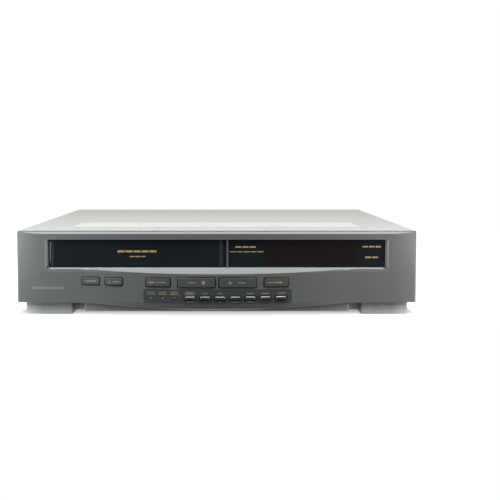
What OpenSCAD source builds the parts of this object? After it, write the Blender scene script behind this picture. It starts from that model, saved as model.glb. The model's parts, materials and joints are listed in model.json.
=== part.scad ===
// Slim video cassette recorder: a bulged control panel with sprung keys, a cassette flap, a
// front-loading cassette carriage and a tape deck that threads the tape round a tilted head drum.
// Depths are counted from the flat front face, positive to the rear. in_frame() moves them so that
// the origin is at the centre of the footprint, on the table. All sizes are in millimetres.

/* [Body] */
// Overall width of the cover and the bezel
body_w = 430; // [426:1:440]
// Overall height, from the table to the top of the cover
body_h = 90; // [90:1:96]
// Depth from the flat front face to the rear edge of the top cover
cover_d = 322; // [318:1:336]
// Thickness of the sheet steel of the top cover
cover_t = 1; // [0.8:0.1:1.2]
// Radius of the folded and moulded outer edges
edge_r = 3; // [2:0.5:4]
// Height of the bezel's underside above the table
base_z = 13; // [12.5:0.5:14]
// Height of the underside of the base pan above the table
floor_z = 9; // [8:0.5:9]
// Gap between the bezel and the top cover
seam = 0.4; // [0.2:0.1:0.6]

/* [Bezel] */
// Thickness of the moulded bezel's walls
wall = 2.5; // [2.2:0.1:2.8]
// Depth of the bezel's top and side strips
bezel_d = 36; // [34:1:40]
// Height of the chamfer along the bezel's top front edge
brow_h = 2.7; // [2:0.1:3]
// How far the control panel bulges forward of the flat face
bulge = 13; // [11:0.5:14]
// Radius of the crown of the bulge, seen from above
crown_r = 760; // [740:10:800]
// Radius of the hollow blends beside the bulge
blend_r = 200; // [180:10:220]
// Radius of the gentle curve at both ends of the front
end_r = 180; // [160:10:220]
// Width of each gently curved end
end_w = 33; // [28:1:33]
// Radius of the front corners, seen from above
corner_r = 5; // [4:0.5:6]
// Fall of the ledge above the bulge, in degrees
ledge_fall = 16; // [14:1:18]
// Fall of the underside below the bulge, in degrees
under_fall = 22; // [18:1:22]

/* [Window] */
// Distance of the window opening from the sides of the body
win_side = 34.5; // [33:0.5:35.5]
// Height of the window opening
win_h = 30.1; // [29.8:0.1:30.3]
// Bottom of the window opening above the table
win_z = 50.6; // [50.4:0.1:50.8]
// Chamfer round the window opening
win_chamfer = 1.4; // [1:0.1:1.6]
// Radius of the corners of the window opening
win_r = 2; // [1.5:0.1:2.4]
// Width of the cassette slot
slot_w = 191; // [190.5:0.5:193]
// Thickness of the web between the slot and the display
web_t = 1.8; // [1.6:0.1:2]
// Depth of the flap's face and the display's face behind the flat front
win_inset = 2; // [1.9:0.1:2.2]
// Thickness of the display lens
lens_t = 2; // [1.5:0.1:2.5]
// Width of the display tube
tube_w = 101; // [92:1:106]

/* [Cassette flap] */
// Thickness of the flap
flap_t = 2; // [1.8:0.1:2]
// Gap round the flap
flap_gap = 0.45; // [0.4:0.05:0.5]
// Radius of the flap's pivot pins
pin_r = 1; // [0.8:0.05:1]
// Running clearance of pins and shafts, on the radius
run_gap = 0.06; // [0.04:0.01:0.09]
// Height of the pivot axis below the top of the window opening
pivot_drop = 1.75; // [1.7:0.05:1.85]
// Width of the raised ribs on the flap
rib_w = 3.6; // [3:0.2:4]

/* [Keys] */
// Height of the centre line of the large keys
key_z = 36.6; // [36.2:0.1:37]
// Height of the four tape keys' caps
key_h = 9.2; // [8.8:0.1:9.4]
// Height of the stop and play keys' caps
play_h = 10.6; // [10:0.1:10.8]
// Gap round each key
key_gap = 0.7; // [0.4:0.05:0.7]
// How far the large keys stand proud of the panel
key_proud = 0.7; // [0.4:0.1:1]
// How far the small keys stand proud of the panel
small_proud = 1.5; // [1.2:0.1:1.8]
// Travel of the keys
key_travel = 1; // [0.6:0.1:1]
// Height of the centre line of the small keys
small_z = 20.2; // [20:0.1:20.6]
// Width of the small keys
small_w = 11.4; // [10:0.1:12]
// Height of the small keys
small_h = 4; // [3.6:0.1:4.4]
// Spacing of the small keys
small_pitch = 15.95; // [15.6:0.05:16.1]
// Radius of the pin keys
pin_key_r = 1.3; // [1:0.1:1.5]
// Spacing of the pin keys
pin_pitch = 12.6; // [12.2:0.1:12.8]
// Thickness of the plate round the small keys
plate_skin = 0.8; // [0.6:0.1:1]

/* [Feet] */
// Distance of each front foot from the side of the body
foot_side = 10.1; // [8:0.1:12]
// Width of each front foot
foot_w = 49.8; // [46:0.1:50]
// Radius of the curved front of each front foot
foot_r = 450; // [300:10:800]
// Depth of each front foot
foot_d = 30; // [24:1:36]
// Radius of the rear feet
rear_foot_r = 12; // [10:0.5:14]
// Gap between each front foot and the bar of the skirt
foot_bar_gap = 12.8; // [11:0.1:15]
// Height of the skirt above the table
skirt_z = 3.5; // [2.6:0.1:4.4]

/* [Cassette carriage] */
// Width of the cassette that goes in
tape_w = 188; // [187:0.5:188.5]
// Thickness of the cassette that goes in
tape_h = 25; // [24.5:0.5:25]
// Height of the cassette's underside in the slot
tape_z = 52; // [51.9:0.1:52.1]
// Depth of the holder's front edge behind the flat front
holder_s = 33; // [33:0.5:34]
// Depth of the cassette holder
holder_d = 62; // [58:1:63]
// Inward travel of the carriage
carriage_in = 63; // [60:1:63]
// Downward travel of the carriage
carriage_down = 19; // [17:0.5:19]
// Thickness of the deck's sheet steel parts
plate_t = 1.2; // [1:0.1:1.4]

/* [Tape deck] */
// Height of the top of the deck chassis
deck_z = 27; // [26.6:0.1:27.2]
// Distance between the two reel shafts
reel_gap = 92; // [91:0.5:93]
// Depth of the reel shafts
reel_s = 102; // [100:0.5:103]
// Radius of the head drum
drum_r = 31; // [30:0.1:31.2]
// Depth of the head drum's axis
drum_s = 210; // [209:0.5:212]
// Lean of the head drum to the side, in degrees
drum_lean = 5; // [3:0.5:6]
// Tooth module of the gears
gear_m = 1; // [0.98:0.01:1.01]
// Play between the gears' teeth, along the pitch circle
backlash = 0.16; // [0.1:0.02:0.2]
// Radius of the path of each threading guide
thread_r = 60; // [59:0.5:61]
// Turn of each threading guide along its path, in degrees
thread_turn = 75; // [70:1:75]
// Radius of the capstan
capstan_r = 1.5; // [1.3:0.1:1.6]
// Radius of the pinch roller
pinch_r = 7; // [6.5:0.1:7.2]

/* [Hidden] */
$fn = 48;
eps = 0.01;
fit = 0.3;             // gap between pieces that are set in each other
socket_out = 8;        // how far the sockets reach behind the cover's rear edge

front_out = bulge + small_proud;
shift_y = front_out - (front_out + cover_d + socket_out) / 2;

steel = [0.75, 0.76, 0.77];
zinc = [0.66, 0.67, 0.66];
cover_grey = [0.72, 0.72, 0.70];
bezel_grey = [0.40, 0.42, 0.43];
key_grey = [0.34, 0.36, 0.37];
gloss_black = [0.07, 0.07, 0.08];
matt_black = [0.12, 0.12, 0.13];
board_green = [0.20, 0.36, 0.22];
board_tan = [0.62, 0.48, 0.28];
natural = [0.86, 0.85, 0.80];
brass = [0.75, 0.62, 0.30];

module in_frame() translate([0, shift_y, 0]) children();

// ---------------------------------------------------------------- shapes that repeat

// Rounded rectangle about its centre
module rounded(w, h, r) {
    square([w - 2 * r, h], center = true);
    square([w, h - 2 * r], center = true);
    for (x = [-1, 1], y = [-1, 1]) translate([x * (w / 2 - r), y * (h / 2 - r)]) circle(r);
}
// A drawing of the front view, made solid between two depths
module front_extrude(s0, s1) translate([0, s1, 0]) rotate([90, 0, 0]) linear_extrude(s1 - s0) children();
// A drawing of depth and height, made solid between two places across
module side_extrude(x0, x1) translate([x0, 0, 0]) rotate([90, 0, 90]) linear_extrude(x1 - x0) children();
// A drawing of the plan, made solid between two heights
module plan_extrude(z0, z1) translate([0, 0, z0]) linear_extrude(z1 - z0) children();
// A box between two corners
module span(a, b) translate(a) cube(b - a);
// Round bars across, along the depth and upright
module rod_x(x0, x1, s, z, r) translate([x0, s, z]) rotate([0, 90, 0]) cylinder(r = r, h = x1 - x0);
module rod_s(x, s0, s1, z, r) translate([x, s1, z]) rotate([90, 0, 0]) cylinder(r = r, h = s1 - s0);
module rod_z(x, s, z0, z1, r) translate([x, s, z0]) cylinder(r = r, h = z1 - z0);
// The same on the right and, mirrored, on the left
module both_sides() for (m = [0, 1]) mirror([m, 0, 0]) children();
// Moves to a point of the plan, at a height
module seat_at(p, z) translate([p[0], p[1], z]) children();
// A tube upright
module tube_z(x, s, z0, z1, r, bore) difference() {
    rod_z(x, s, z0, z1, r);
    rod_z(x, s, z0 - 1, z1 + 1, bore);
}

// ---------------------------------------------------------------- front panel

flat_x = body_w / 2 - end_w;                     // where the curved ends begin
win_w = body_w - 2 * win_side;
foot_x = body_w / 2 - foot_side - foot_w;        // inner end of each front foot
bar_x = foot_x - foot_bar_gap;                   // half length of the bar of the skirt
crease = 0.1;                                    // lets curves cross at a slight angle
blend_x = sqrt(2 * bulge * (crown_r + blend_r) - bulge * bulge);   // outer end of the bulge
crown_x = blend_x * crown_r / (crown_r + blend_r);                 // where crown and blends meet
crown_s = crown_r - bulge - sqrt(crown_r * crown_r - crown_x * crown_x);
win_x0 = -win_w / 2;
win_x1 = win_w / 2;
win_top = win_z + win_h;
slot_x1 = win_x0 + slot_w;                       // right-hand side of the cassette slot
lens_x0 = slot_x1 + web_t;                       // left-hand side of the display
ledge_z = win_z - win_chamfer;                   // height of the ledge at the flat face

// Plan of the front without its bulge, pushed in by t
module flat_plan(t, back) intersection() {
    translate([-body_w / 2 + t, t]) square([body_w - 2 * t, back - t]);
    union() {
        translate([-flat_x, t]) square([2 * flat_x, back - t]);
        for (x = [-1, 1]) translate([x * flat_x, end_r - crease]) circle(end_r - t, $fn = 120);
        translate([-body_w / 2, end_w]) square([body_w, back - end_w]);
    }
    union() {
        translate([-body_w / 2, corner_r + 2]) square([body_w, back]);
        for (x = [-1, 1]) translate([x * (body_w / 2 - corner_r), corner_r + 2]) circle(corner_r - t);
        translate([-body_w / 2 + corner_r, 0]) square([body_w - 2 * corner_r, back]);
    }
}
// Plan of the bulge, pushed in by t
module bulge_plan(t) {
    intersection() {
        translate([0, crown_r - bulge]) circle(crown_r - t, $fn = 400);
        translate([-crown_x, -bulge - 5]) square([2 * crown_x, bulge + t + 6]);
    }
    for (x = [-1, 1]) difference() {
        polygon([[x * (crown_x - eps), t + 1], [x * (crown_x - eps), crown_s + t],
            [x * blend_x, t], [x * blend_x, t + 1]]);
        translate([x * blend_x, -blend_r + crease]) circle(blend_r + t, $fn = 200);
    }
}
// Depth of the panel's face at a place across
function face_s(x) = abs(x) >= blend_x ? 0
    : abs(x) >= crown_x ? sqrt(blend_r * blend_r - pow(blend_x - abs(x), 2)) - blend_r
    : crown_r - bulge - sqrt(crown_r * crown_r - x * x);

// The front as a solid body, pushed in by t
module front_form(t, back) {
    brow_s = brow_h - 0.2;
    intersection() {
        plan_extrude(base_z + t, body_h - t) flat_plan(t, back);
        front_extrude(0, back) translate([0, (base_z + body_h) / 2 - 10])
            rounded(body_w - 2 * t, body_h - base_z + 20 - 2 * t, edge_r);
        side_extrude(-body_w, body_w) polygon([[t, base_z + t], [back, base_z + t],
            [back, body_h - t], [brow_s + t + 0.3, body_h - t], [brow_s + t + 0.3, body_h - t - 0.3],
            [brow_s + t + 0.7, body_h - t - 0.3], [brow_s + t + 0.7, body_h - t - 0.8],
            [brow_s + t, body_h - t - 0.8], [t, body_h - t - brow_h - 0.4]]);
    }
    reach = bulge + 5;
    intersection() {
        plan_extrude(0, body_h) bulge_plan(t);
        side_extrude(-body_w, body_w) polygon([[t + 1, ledge_z - t], [t + 1, base_z + t],
            [0, base_z + t], [-reach, base_z + t - reach * tan(under_fall)],
            [-reach, ledge_z - t - reach * tan(ledge_fall)], [0, ledge_z - t]]);
    }
}

// Window opening, chamfered along its bottom and its ends
module window_cut() {
    c = win_chamfer;
    translate([0, 0, win_z + win_h / 2]) front_extrude(-1, wall + 1) rounded(win_w, win_h, win_r);
    translate([0, 0, win_z]) mirror([0, 0, 1])
        side_extrude(win_x0 - c, win_x1 + c) polygon([[-1, -win_r], [-1, c + 1], [c, 0], [c, -win_r]]);
    both_sides() plan_extrude(win_z - c, win_top)
        polygon([[win_x1 - win_r, -1], [win_x1 + c + 1, -1], [win_x1, c], [win_x1 - win_r, c]]);
}

pivot_s = win_inset + flap_t / 2;
pivot_z = win_top - pivot_drop;
pin_len = web_t - 0.3;
ear_t = 4;
ear_s = 6.5;                                     // how far back the ear and the web reach
deck_x = win_x0 + slot_w / 2;                    // centre line of the tape deck
deck_w = tape_w / 2 + 10;                        // half the width of the deck chassis

// The keys in the panel: name, place, height of the centre line, width, height, corner radius
key_r = 2;
tape_key_w = 26;
play_key_w = 39.6;
mode_key_w = 19.2;
power_x = -134.5;
eject_x = -109.4;
rewind_x = -61.9;
stop_x = -21.2;
play_x = 22.2;
forward_x = 63;
small_x1 = -28.2;
pin_x1 = -69.7;
mode_h = key_h - 1;
large_keys = [[power_x, mode_key_w, mode_h], [eject_x, mode_key_w, mode_h],
    [rewind_x, tape_key_w, key_h], [stop_x, play_key_w, play_h],
    [play_x, play_key_w, play_h], [forward_x, tape_key_w, key_h]];
function small_at(i) = small_x1 + i * small_pitch + (i == 6 ? 0.6 : 0);
function pin_at(i) = pin_x1 + i * pin_pitch;

panel_w = 157.3;
panel_x = 1;
panel_z0 = 14.6;
panel_z1 = 29.4;
module panel_outline(gap) translate([panel_x, (panel_z0 + panel_z1) / 2])
    rounded(panel_w + 2 * gap, panel_z1 - panel_z0 + 2 * gap, 3);

module key_outlines(gap) {
    for (k = large_keys) translate([k[0], key_z]) rounded(k[1] + 2 * gap, k[2] + 2 * gap, key_r);
    small_outlines(gap);
}
module small_outlines(gap) {
    for (i = [0 : 6]) translate([small_at(i), small_z]) rounded(small_w + 2 * gap, small_h + 2 * gap, 1);
    for (i = [0 : 2]) translate([pin_at(i), small_z]) circle(pin_key_r + gap / 2);
}

module front_bezel() color(bezel_grey) difference() {
    union() {
        difference() {
            front_form(0, bezel_d);
            front_form(wall, bezel_d + 1);
            window_cut();
            front_extrude(-bulge - 5, wall + 5) key_outlines(key_gap);
            // seat of the plate round the small keys
            intersection() {
                front_extrude(-bulge - 5, wall + 5) panel_outline(0.05);
                plan_extrude(0, body_h) difference() {
                    translate([-crown_x, -bulge - 5]) square([2 * crown_x, bulge + 6]);
                    translate([0, crown_r - bulge]) circle(crown_r - plate_skin - 0.05, $fn = 400);
                }
            }
        }
        // web between the cassette slot and the display
        span([slot_x1, 0.8, win_z - 1], [lens_x0, ear_s, win_top + 1]);
        // ear that carries the flap's left-hand pin, and the stud of the flap's spring
        span([win_x0 - ear_t, wall - 0.5, pivot_z - 5], [win_x0, ear_s, win_top + 2]);
        rod_x(win_x0 - ear_t - 3.2, win_x0 - ear_t + 1, spring_at[1], pivot_z, stud_r);
        // posts behind the panel that the front board is screwed to
        for (x = [-board_post_x, board_post_x]) rod_s(x, wall - 0.5, board_s, board_post_z, 3);
        // tabs that hook under the cover's front edge
        for (x = [-1, -0.5, 0, 0.5, 1] * (body_w / 2 - 35))
            span([x - 8, bezel_d - 4, body_h - wall - 1], [x + 8, bezel_d + 4, body_h - cover_t - 0.5]);
    }
    rod_x(slot_x1 - 1, slot_x1 + pin_len + 0.1, pivot_s, pivot_z, pin_r + run_gap);
    rod_x(win_x0 - pin_len - 0.1, win_x0 + 1, pivot_s, pivot_z, pin_r + run_gap);
}

// The chin below the bezel: a strip above each foot, a bar between the feet, and a step back
// between each foot and the bar
skirt_s = 2;                                     // how far the skirt and the feet are set back
skirt_back = skirt_s + 20;
step_s = skirt_s + 8;                            // front face of the step
turn_r = 2.2;                                    // radius of the upright corners of feet and bar
line_z = floor_z + 0.6;                          // top of the feet, seen from the front
line_gap = 0.5;                                  // dark line between the feet and the chin
pad_h = 0.3;                                     // how far the feet's pads stand out below
module front_part(back) translate([-body_w / 2, 0]) square([body_w, back]);
module foot_plan() intersection() {
    translate([foot_x, skirt_s]) square([foot_w, foot_d]);
    translate([foot_x + 8, skirt_s + foot_r]) circle(foot_r, $fn = 160);
    translate([foot_x + foot_w / 2, skirt_s + foot_d]) rounded(foot_w, 2 * foot_d, turn_r);
}
module bar_plan(t) translate([0, skirt_back])
    rounded(2 * (bar_x - t), 2 * (skirt_back - skirt_s - t), turn_r);
module front_skirt() color(bezel_grey) {
    chin_z = line_z + line_gap;
    plan_extrude(chin_z, base_z) intersection() {
        front_part(skirt_back);
        union() {
            both_sides() foot_plan();
            bar_plan(0);
            both_sides() translate([bar_x - 2, step_s]) square([foot_bar_gap + 6, skirt_back]);
        }
    }
    plan_extrude(skirt_z, chin_z) intersection() {
        front_part(skirt_back - 2);
        difference() {
            bar_plan(0);
            bar_plan(wall);
        }
    }
    both_sides() span([bar_x - 1, step_s, skirt_z], [foot_x - fit, step_s + wall, chin_z]);
}

module front_feet() color(bezel_grey) both_sides() {
    plan_extrude(pad_h, floor_z) foot_plan();
    plan_extrude(floor_z - 1, line_z) intersection() {
        foot_plan();
        front_part(skirt_back - 1);
    }
    span([foot_x + 6, skirt_s + 10, 0], [foot_x + foot_w - 10, skirt_s + foot_d - 6, pad_h + 1]);
}

rear_foot_x = body_w / 2 - 40;
rear_foot_s = cover_d - 40;
module rear_feet() color(matt_black) for (x = [-1, 1]) translate([x * rear_foot_x, rear_foot_s, 0])
    rotate_extrude() polygon([[0, 0.6], [rear_foot_r - 4, 0.6], [rear_foot_r - 4, 0], [rear_foot_r - 1, 0],
        [rear_foot_r, 1.5], [rear_foot_r, floor_z], [0, floor_z]]);

// ---------------------------------------------------------------- cover and base

cover_s0 = bezel_d + seam;
cover_z0 = floor_z + 1.4;
panel_s = cover_d - cover_t - plate_t;           // front face of the rear panel
inner_x = body_w / 2 - cover_t;
pan_z = floor_z + plate_t;                       // top face of the base pan's floor
side_screws = [cover_s0 + 30, cover_d - 50];
screw_z = floor_z + 12;
rear_screws = [25 - body_w / 2, 0, body_w / 2 - 65];
rear_screw_z = body_h - 7;

module cover_profile(t) translate([0, (body_h + cover_z0) / 2 - 10])
    rounded(body_w - 2 * t, body_h - cover_z0 + 20 - 2 * t, edge_r + 0.5 - t);
vent_n = 14;
vent_pitch = 7;
module top_cover() color(cover_grey) difference() {
    union() {
        difference() {
            front_extrude(cover_s0, cover_d) cover_profile(0);
            front_extrude(cover_s0 - 1, cover_d + 1) cover_profile(cover_t);
        }
        // flange along the top of the rear edge
        span([-inner_x + 3, cover_d - cover_t, body_h - 13], [inner_x - 3, cover_d, body_h - cover_t / 2]);
    }
    span([-body_w, 0, -20], [body_w, cover_d + 1, cover_z0]);
    for (x = [-1, 1], s = side_screws) translate([x * (body_w / 2 - 3), 0, 0]) rod_x(-5, 5, s, screw_z, 1.7);
    for (x = rear_screws) rod_s(x, cover_d - 3, cover_d + 1, rear_screw_z, 1.7);
    // ventilation slots near the rear of both sides
    for (x = [-1, 1], i = [0 : vent_n - 1]) translate([x * (body_w / 2), 0, 0])
        span([-4, 180 + i * vent_pitch, 40], [4, 183 + i * vent_pitch, 62]);
}

module screw_head(r, h) {
    difference() {
        cylinder(r = r, h = h);
        for (a = [0, 90]) rotate([0, 0, a]) translate([-r * 0.6, -0.4, h - 0.8]) cube([r * 1.2, 0.8, 1]);
    }
    translate([0, 0, -3.2]) cylinder(r = 1.6, h = 3.2 + eps);
}
module cover_screws() color(steel) {
    for (x = [-1, 1], s = side_screws) translate([x * body_w / 2, s, screw_z]) rotate([0, x * 90, 0])
        screw_head(3.6, 2);
    for (x = rear_screws) translate([x, cover_d, rear_screw_z]) rotate([-90, 0, 0]) screw_head(3.2, 1.8);
}

flange_x = inner_x - fit;                        // outer face of the pan's side flanges
supply_x1 = inner_x - 8;                         // the power supply's board, at the rear right
supply_x0 = supply_x1 - 96;
supply_s1 = panel_s - 23.8;
supply_s0 = supply_s1 - 92;
module base_pan() color(zinc) difference() {
    union() {
        span([-flange_x, skirt_back + fit, floor_z], [flange_x, panel_s - fit, pan_z]);
        both_sides()
            span([flange_x - plate_t, cover_s0 + 4, floor_z], [flange_x, panel_s - fit, floor_z + 20]);
        // rim under the bezel that carries it and the skirt
        span([-flange_x + 12, skirt_back + fit, floor_z], [flange_x - 12, skirt_back + 4, base_z]);
    }
    for (x = [-1, 1], s = side_screws) translate([x * flange_x, 0, 0]) rod_x(-4, 4, s, screw_z, 1.7);
    // cooling slots under the power supply and stiffening holes
    for (i = [0 : 9], j = [0, 1]) translate([supply_x1 - 146 + i * 13, supply_s0 - 4 + j * 46, 0])
        cube([5, 38, 30]);
    for (i = [0 : 7]) translate([deck_x - 85 + i * 13, 60, 0]) cube([5, 30, 30]);
}

// ---------------------------------------------------------------- rear panel and sockets

scart_xs = [-62, 2];
scart_z = 40;
scart_w = 48;
scart_h = 15;
phono_x = -120;
phono_zs = [38, 53, 68];
coax_x = 70;
coax_zs = [32, 58];
inlet_x = body_w / 2 - 37;
inlet_z = 40;
module rear_panel() color(matt_black) difference() {
    front_extrude(panel_s, panel_s + plate_t) intersection() {
        cover_profile(cover_t + fit);
        translate([-body_w / 2, floor_z]) square([body_w, body_h]);
    }
    for (x = scart_xs) front_hole(x, scart_z, scart_w + 2 * fit, scart_h + 2 * fit);
    for (z = phono_zs) rod_s(phono_x, panel_s - 1, panel_s + 4, z, 5.2);
    for (z = coax_zs) rod_s(coax_x, panel_s - 1, panel_s + 4, z, 6.2);
    front_hole(inlet_x, inlet_z, 24.4, 18.4);
    for (x = rear_screws) rod_s(x, panel_s - 1, panel_s + 4, rear_screw_z, 1.7);
    for (i = [0 : 9]) front_hole(inlet_x - 68 + i * 5, 62, 2.4, 20);
}
module front_hole(x, z, w, h) translate([x, 0, z]) front_extrude(panel_s - 1, panel_s + 4) rounded(w, h, 1);

// Each SCART socket: a moulding with a shaped recess and its blade contacts
module scart_socket(x) color(matt_black) translate([x, 0, scart_z]) {
    difference() {
        front_extrude(panel_s - 8, cover_d + 5) rounded(scart_w, scart_h, 1);
        front_extrude(cover_d - 7, cover_d + 6)
            polygon([[-21.5, 5.5], [21.5, 5.5], [21.5, -1], [17, -5.5], [-21.5, -5.5]]);
    }
    for (i = [0 : 9], j = [0, 1]) translate([-18.4 + i * 3.8 + j * 1.9, cover_d - 7.2, j * 5 - 3.2])
        cube([1, 3.7, 1.4]);
}
module socket_ring(x, z, s0, s1, r, bore, pin) {
    difference() {
        rod_s(x, s0, s1, z, r);
        rod_s(x, s1 - 7.5, s1 + 1, z, bore);
    }
    if (pin > 0) difference() {
        rod_s(x, s1 - 7.6, s1 - 1, z, pin);
        rod_s(x, s1 - 5, s1, z, pin * 0.5);
    }
}
module phono_sockets() color(brass) {
    span([phono_x - 8, panel_s - 12, phono_zs[0] - 8], [phono_x + 8, panel_s - fit, phono_zs[2] + 8]);
    for (z = phono_zs) socket_ring(phono_x, z, panel_s - fit - eps, cover_d + socket_out, 4.15, 3.4, 1.6);
}
module aerial_unit() color(steel) {
    // screened tuner box behind the sockets
    span([coax_x - 26, panel_s - 70, pan_z + 3], [coax_x + 26, panel_s - fit, 72]);
    for (z = coax_zs) socket_ring(coax_x, z, panel_s - fit - eps, cover_d + socket_out, 5.6, 4.8, 1.2);
    for (x = [-22, 18]) translate([coax_x + x, panel_s - 60, pan_z]) cube([4, 1, 3]);
}
module mains_inlet() color(matt_black) translate([inlet_x, 0, inlet_z]) {
    difference() {
        front_extrude(panel_s - 20, cover_d + 3) rounded(24, 18, 1);
        front_extrude(cover_d - 10, cover_d + 4) {
            for (x = [-1, 1]) translate([x * 4.3, 0]) circle(4);
            square([8.6, 8], center = true);
        }
    }
    for (x = [-4.3, 4.3]) rod_s(x, cover_d - 10.2, cover_d - 1, 0, 1.2);
}

// ---------------------------------------------------------------- window, flap and keys

board_s = 13;                                    // front face of the front board
board_t = 1.6;
board_post_x = 15.5 - power_x;
board_post_z = 22;
switch_d = 3.5;
board_top = win_z - 4;
board_end = board_post_x + 5;

// The window's outline between two places across, smaller by a gap all round
module window_part(x0, x1, gap) intersection() {
    translate([0, win_z + win_h / 2]) rounded(win_w - 2 * gap, win_h - 2 * gap, win_r);
    translate([x0 + gap, win_z]) square([x1 - x0 - 2 * gap, win_h]);
}
lens_gap = 0.15;
module display_window() color(gloss_black) {
    front_extrude(win_inset, wall + 1) window_part(lens_x0, win_x1, lens_gap);
    span([lens_x0 + lens_gap, wall + 0.1, win_z - 3], [win_x1 + 3, wall + 0.1 + lens_t, win_top + 3]);
}

tube_x = (lens_x0 + win_x1) / 2 + 5.4;
module display_tube() color([0.16, 0.14, 0.13]) {
    span([tube_x - tube_w / 2, wall + lens_t + 1.5, win_z + 2],
        [tube_x + tube_w / 2, board_s - 1.5, win_top - 3]);
    for (i = [0 : 15]) rod_s(tube_x - 45 + i * 6, board_s - 1.6, board_s, win_z + 4, 0.4);
}
module front_board() color(board_tan) {
    difference() {
        front_extrude(board_s, board_s + board_t)
            polygon([[-board_end, 16], [board_post_x + 8, 16], [board_post_x + 8, 24], [win_x1 - 4.5, 24],
                [win_x1 - 4.5, win_top + 1], [lens_x0 + 8, win_top + 1], [lens_x0 + 8, board_top],
                [-board_end, board_top]]);
        for (x = [-board_post_x, board_post_x]) rod_s(x, board_s - 1, board_s + 3, board_post_z, 1.2);
    }
    for (k = large_keys) switch_at(k[0], key_z);
    for (i = [0 : 6]) switch_at(small_at(i), small_z);
    for (i = [0 : 2]) switch_at(pin_at(i), small_z);
    // chips on the back of the board
    for (x = [-100, -40, 60, 120]) span([x - 9, board_s + board_t, 28], [x + 9, board_s + board_t + 2.5, 38]);
}
module switch_at(x, z) {
    span([x - 3, board_s - switch_d + 1, z - 3], [x + 3, board_s, z + 3]);
    rod_s(x, board_s - switch_d, board_s - switch_d + 1.1, z, 1.6);
}

module key_plate() color([0.27, 0.29, 0.31]) difference() {
    intersection() {
        front_extrude(-bulge - 5, 5) panel_outline(0);
        plan_extrude(0, body_h) difference() {
            translate([0, crown_r - bulge]) circle(crown_r, $fn = 400);
            translate([0, crown_r - bulge]) circle(crown_r - plate_skin, $fn = 400);
        }
    }
    front_extrude(-bulge - 5, 5) small_outlines(key_gap);
}

// A key cap that follows the panel's curve, with a stem that reaches its switch
module key(x, z, w, h, r, proud) {
    intersection() {
        translate([x, 0, z]) union() {
            front_extrude(-bulge - 5, wall + 5) rounded(w - 1, h - 1, max(r - 0.5, 0.4));
            front_extrude(face_s(x) + key_lean(x, w) - proud + 0.5, wall + 5) rounded(w, h, r);
        }
        plan_extrude(0, body_h) {
            bulge_plan(-proud);
            translate([-body_w / 2, -proud]) square([body_w, bulge + wall + 10]);
        }
        span([-body_w, -bulge - 5, 0], [body_w, face_s(x) + 6, body_h]);
    }
    rod_s(x, face_s(x) + 5.5, board_s - switch_d - key_travel - 0.05, z, min(1.8, h / 2 - 0.4));
}
// How far the panel falls back over half the width of a key
function key_lean(x, w) = max(face_s(x - w / 2), face_s(x + w / 2)) - face_s(x);

module large_key(i) color(key_grey)
    key(large_keys[i][0], key_z, large_keys[i][1], large_keys[i][2], key_r, key_proud);
module small_key(i) color(key_grey)
    key(small_at(i), small_z, small_w, small_h, 0.9, small_proud);
module pin_key(i) color([0.5, 0.52, 0.54]) rod_s(pin_at(i), face_s(pin_at(i)) - (i == 2 ? 0.6 : -0.3),
    board_s - switch_d - key_travel - 0.05, small_z, pin_key_r);

flap_x0 = win_x0 + flap_gap;
flap_x1 = slot_x1 - flap_gap;
flap_z0 = win_z + flap_gap;
flap_z1 = win_top - flap_gap;
module cassette_flap() color(gloss_black) {
    front_extrude(win_inset, win_inset + flap_t) window_part(win_x0, slot_x1, flap_gap);
    for (x = [flap_x0 + 3, flap_x1 - 5.5]) intersection() {
        translate([x, 0, (flap_z0 + flap_z1) / 2]) front_extrude(win_inset - 0.5, win_inset + 0.1)
            rounded(rib_w, win_h - 4, rib_w / 2 - 0.05);
        rod_z(x, win_inset + rib_w * 1.2 - 0.5, 0, body_h, rib_w * 1.2);
    }
    rod_x(win_x0 - pin_len, flap_x0 + 1, pivot_s, pivot_z, pin_r);
    rod_x(flap_x1 - 1, slot_x1 + pin_len, pivot_s, pivot_z, pin_r);
}
// A round wire swept along points, with a ring of sides at each
module wire(points, r, sides = 6) {
    n = len(points);
    along = [for (i = [0 : n - 1]) let (d = points[min(i + 1, n - 1)] - points[max(i - 1, 0)]) d / norm(d)];
    rings = [for (i = [0 : n - 1])
        let (side = cross(along[i], wire_up), u = side / norm(side), v = cross(u, along[i]))
        for (k = [0 : sides - 1]) points[i] + r * (u * cos(360 * k / sides) + v * sin(360 * k / sides))];
    polyhedron(rings, concat(
        [[for (k = [0 : sides - 1]) sides - 1 - k]],
        [for (i = [0 : n - 2], k = [0 : sides - 1]) let (m = (k + 1) % sides)
            [i * sides + k, i * sides + m, (i + 1) * sides + m, (i + 1) * sides + k]],
        [[for (k = [0 : sides - 1]) (n - 1) * sides + k]]));
}
wire_up = [0.98, 0.17, 0.11];                    // a direction that the wire never follows
// Torsion spring on a stud of the ear; one leg bears on the panel, the other on the flap's pin
spring_wire = 0.25;
spring_r = 1.9;
spring_turns = 3;
stud_r = 1.3;
spring_at = [win_x0 - ear_t - 0.5, wall + spring_r + spring_wire + fit, pivot_z];
module flap_spring() color(steel) translate(spring_at) wire(concat(
    [[0, -spring_r, -4.4]],
    [for (i = [0 : spring_turns * 12]) let (a = 30 * i)
        [-i * spring_wire * 2.4 / 12, -spring_r * cos(a), spring_r * sin(a)]],
    [[-spring_turns * spring_wire * 2.4, -spring_r, 4]]), spring_wire);

// ---------------------------------------------------------------- boards and power supply

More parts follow.
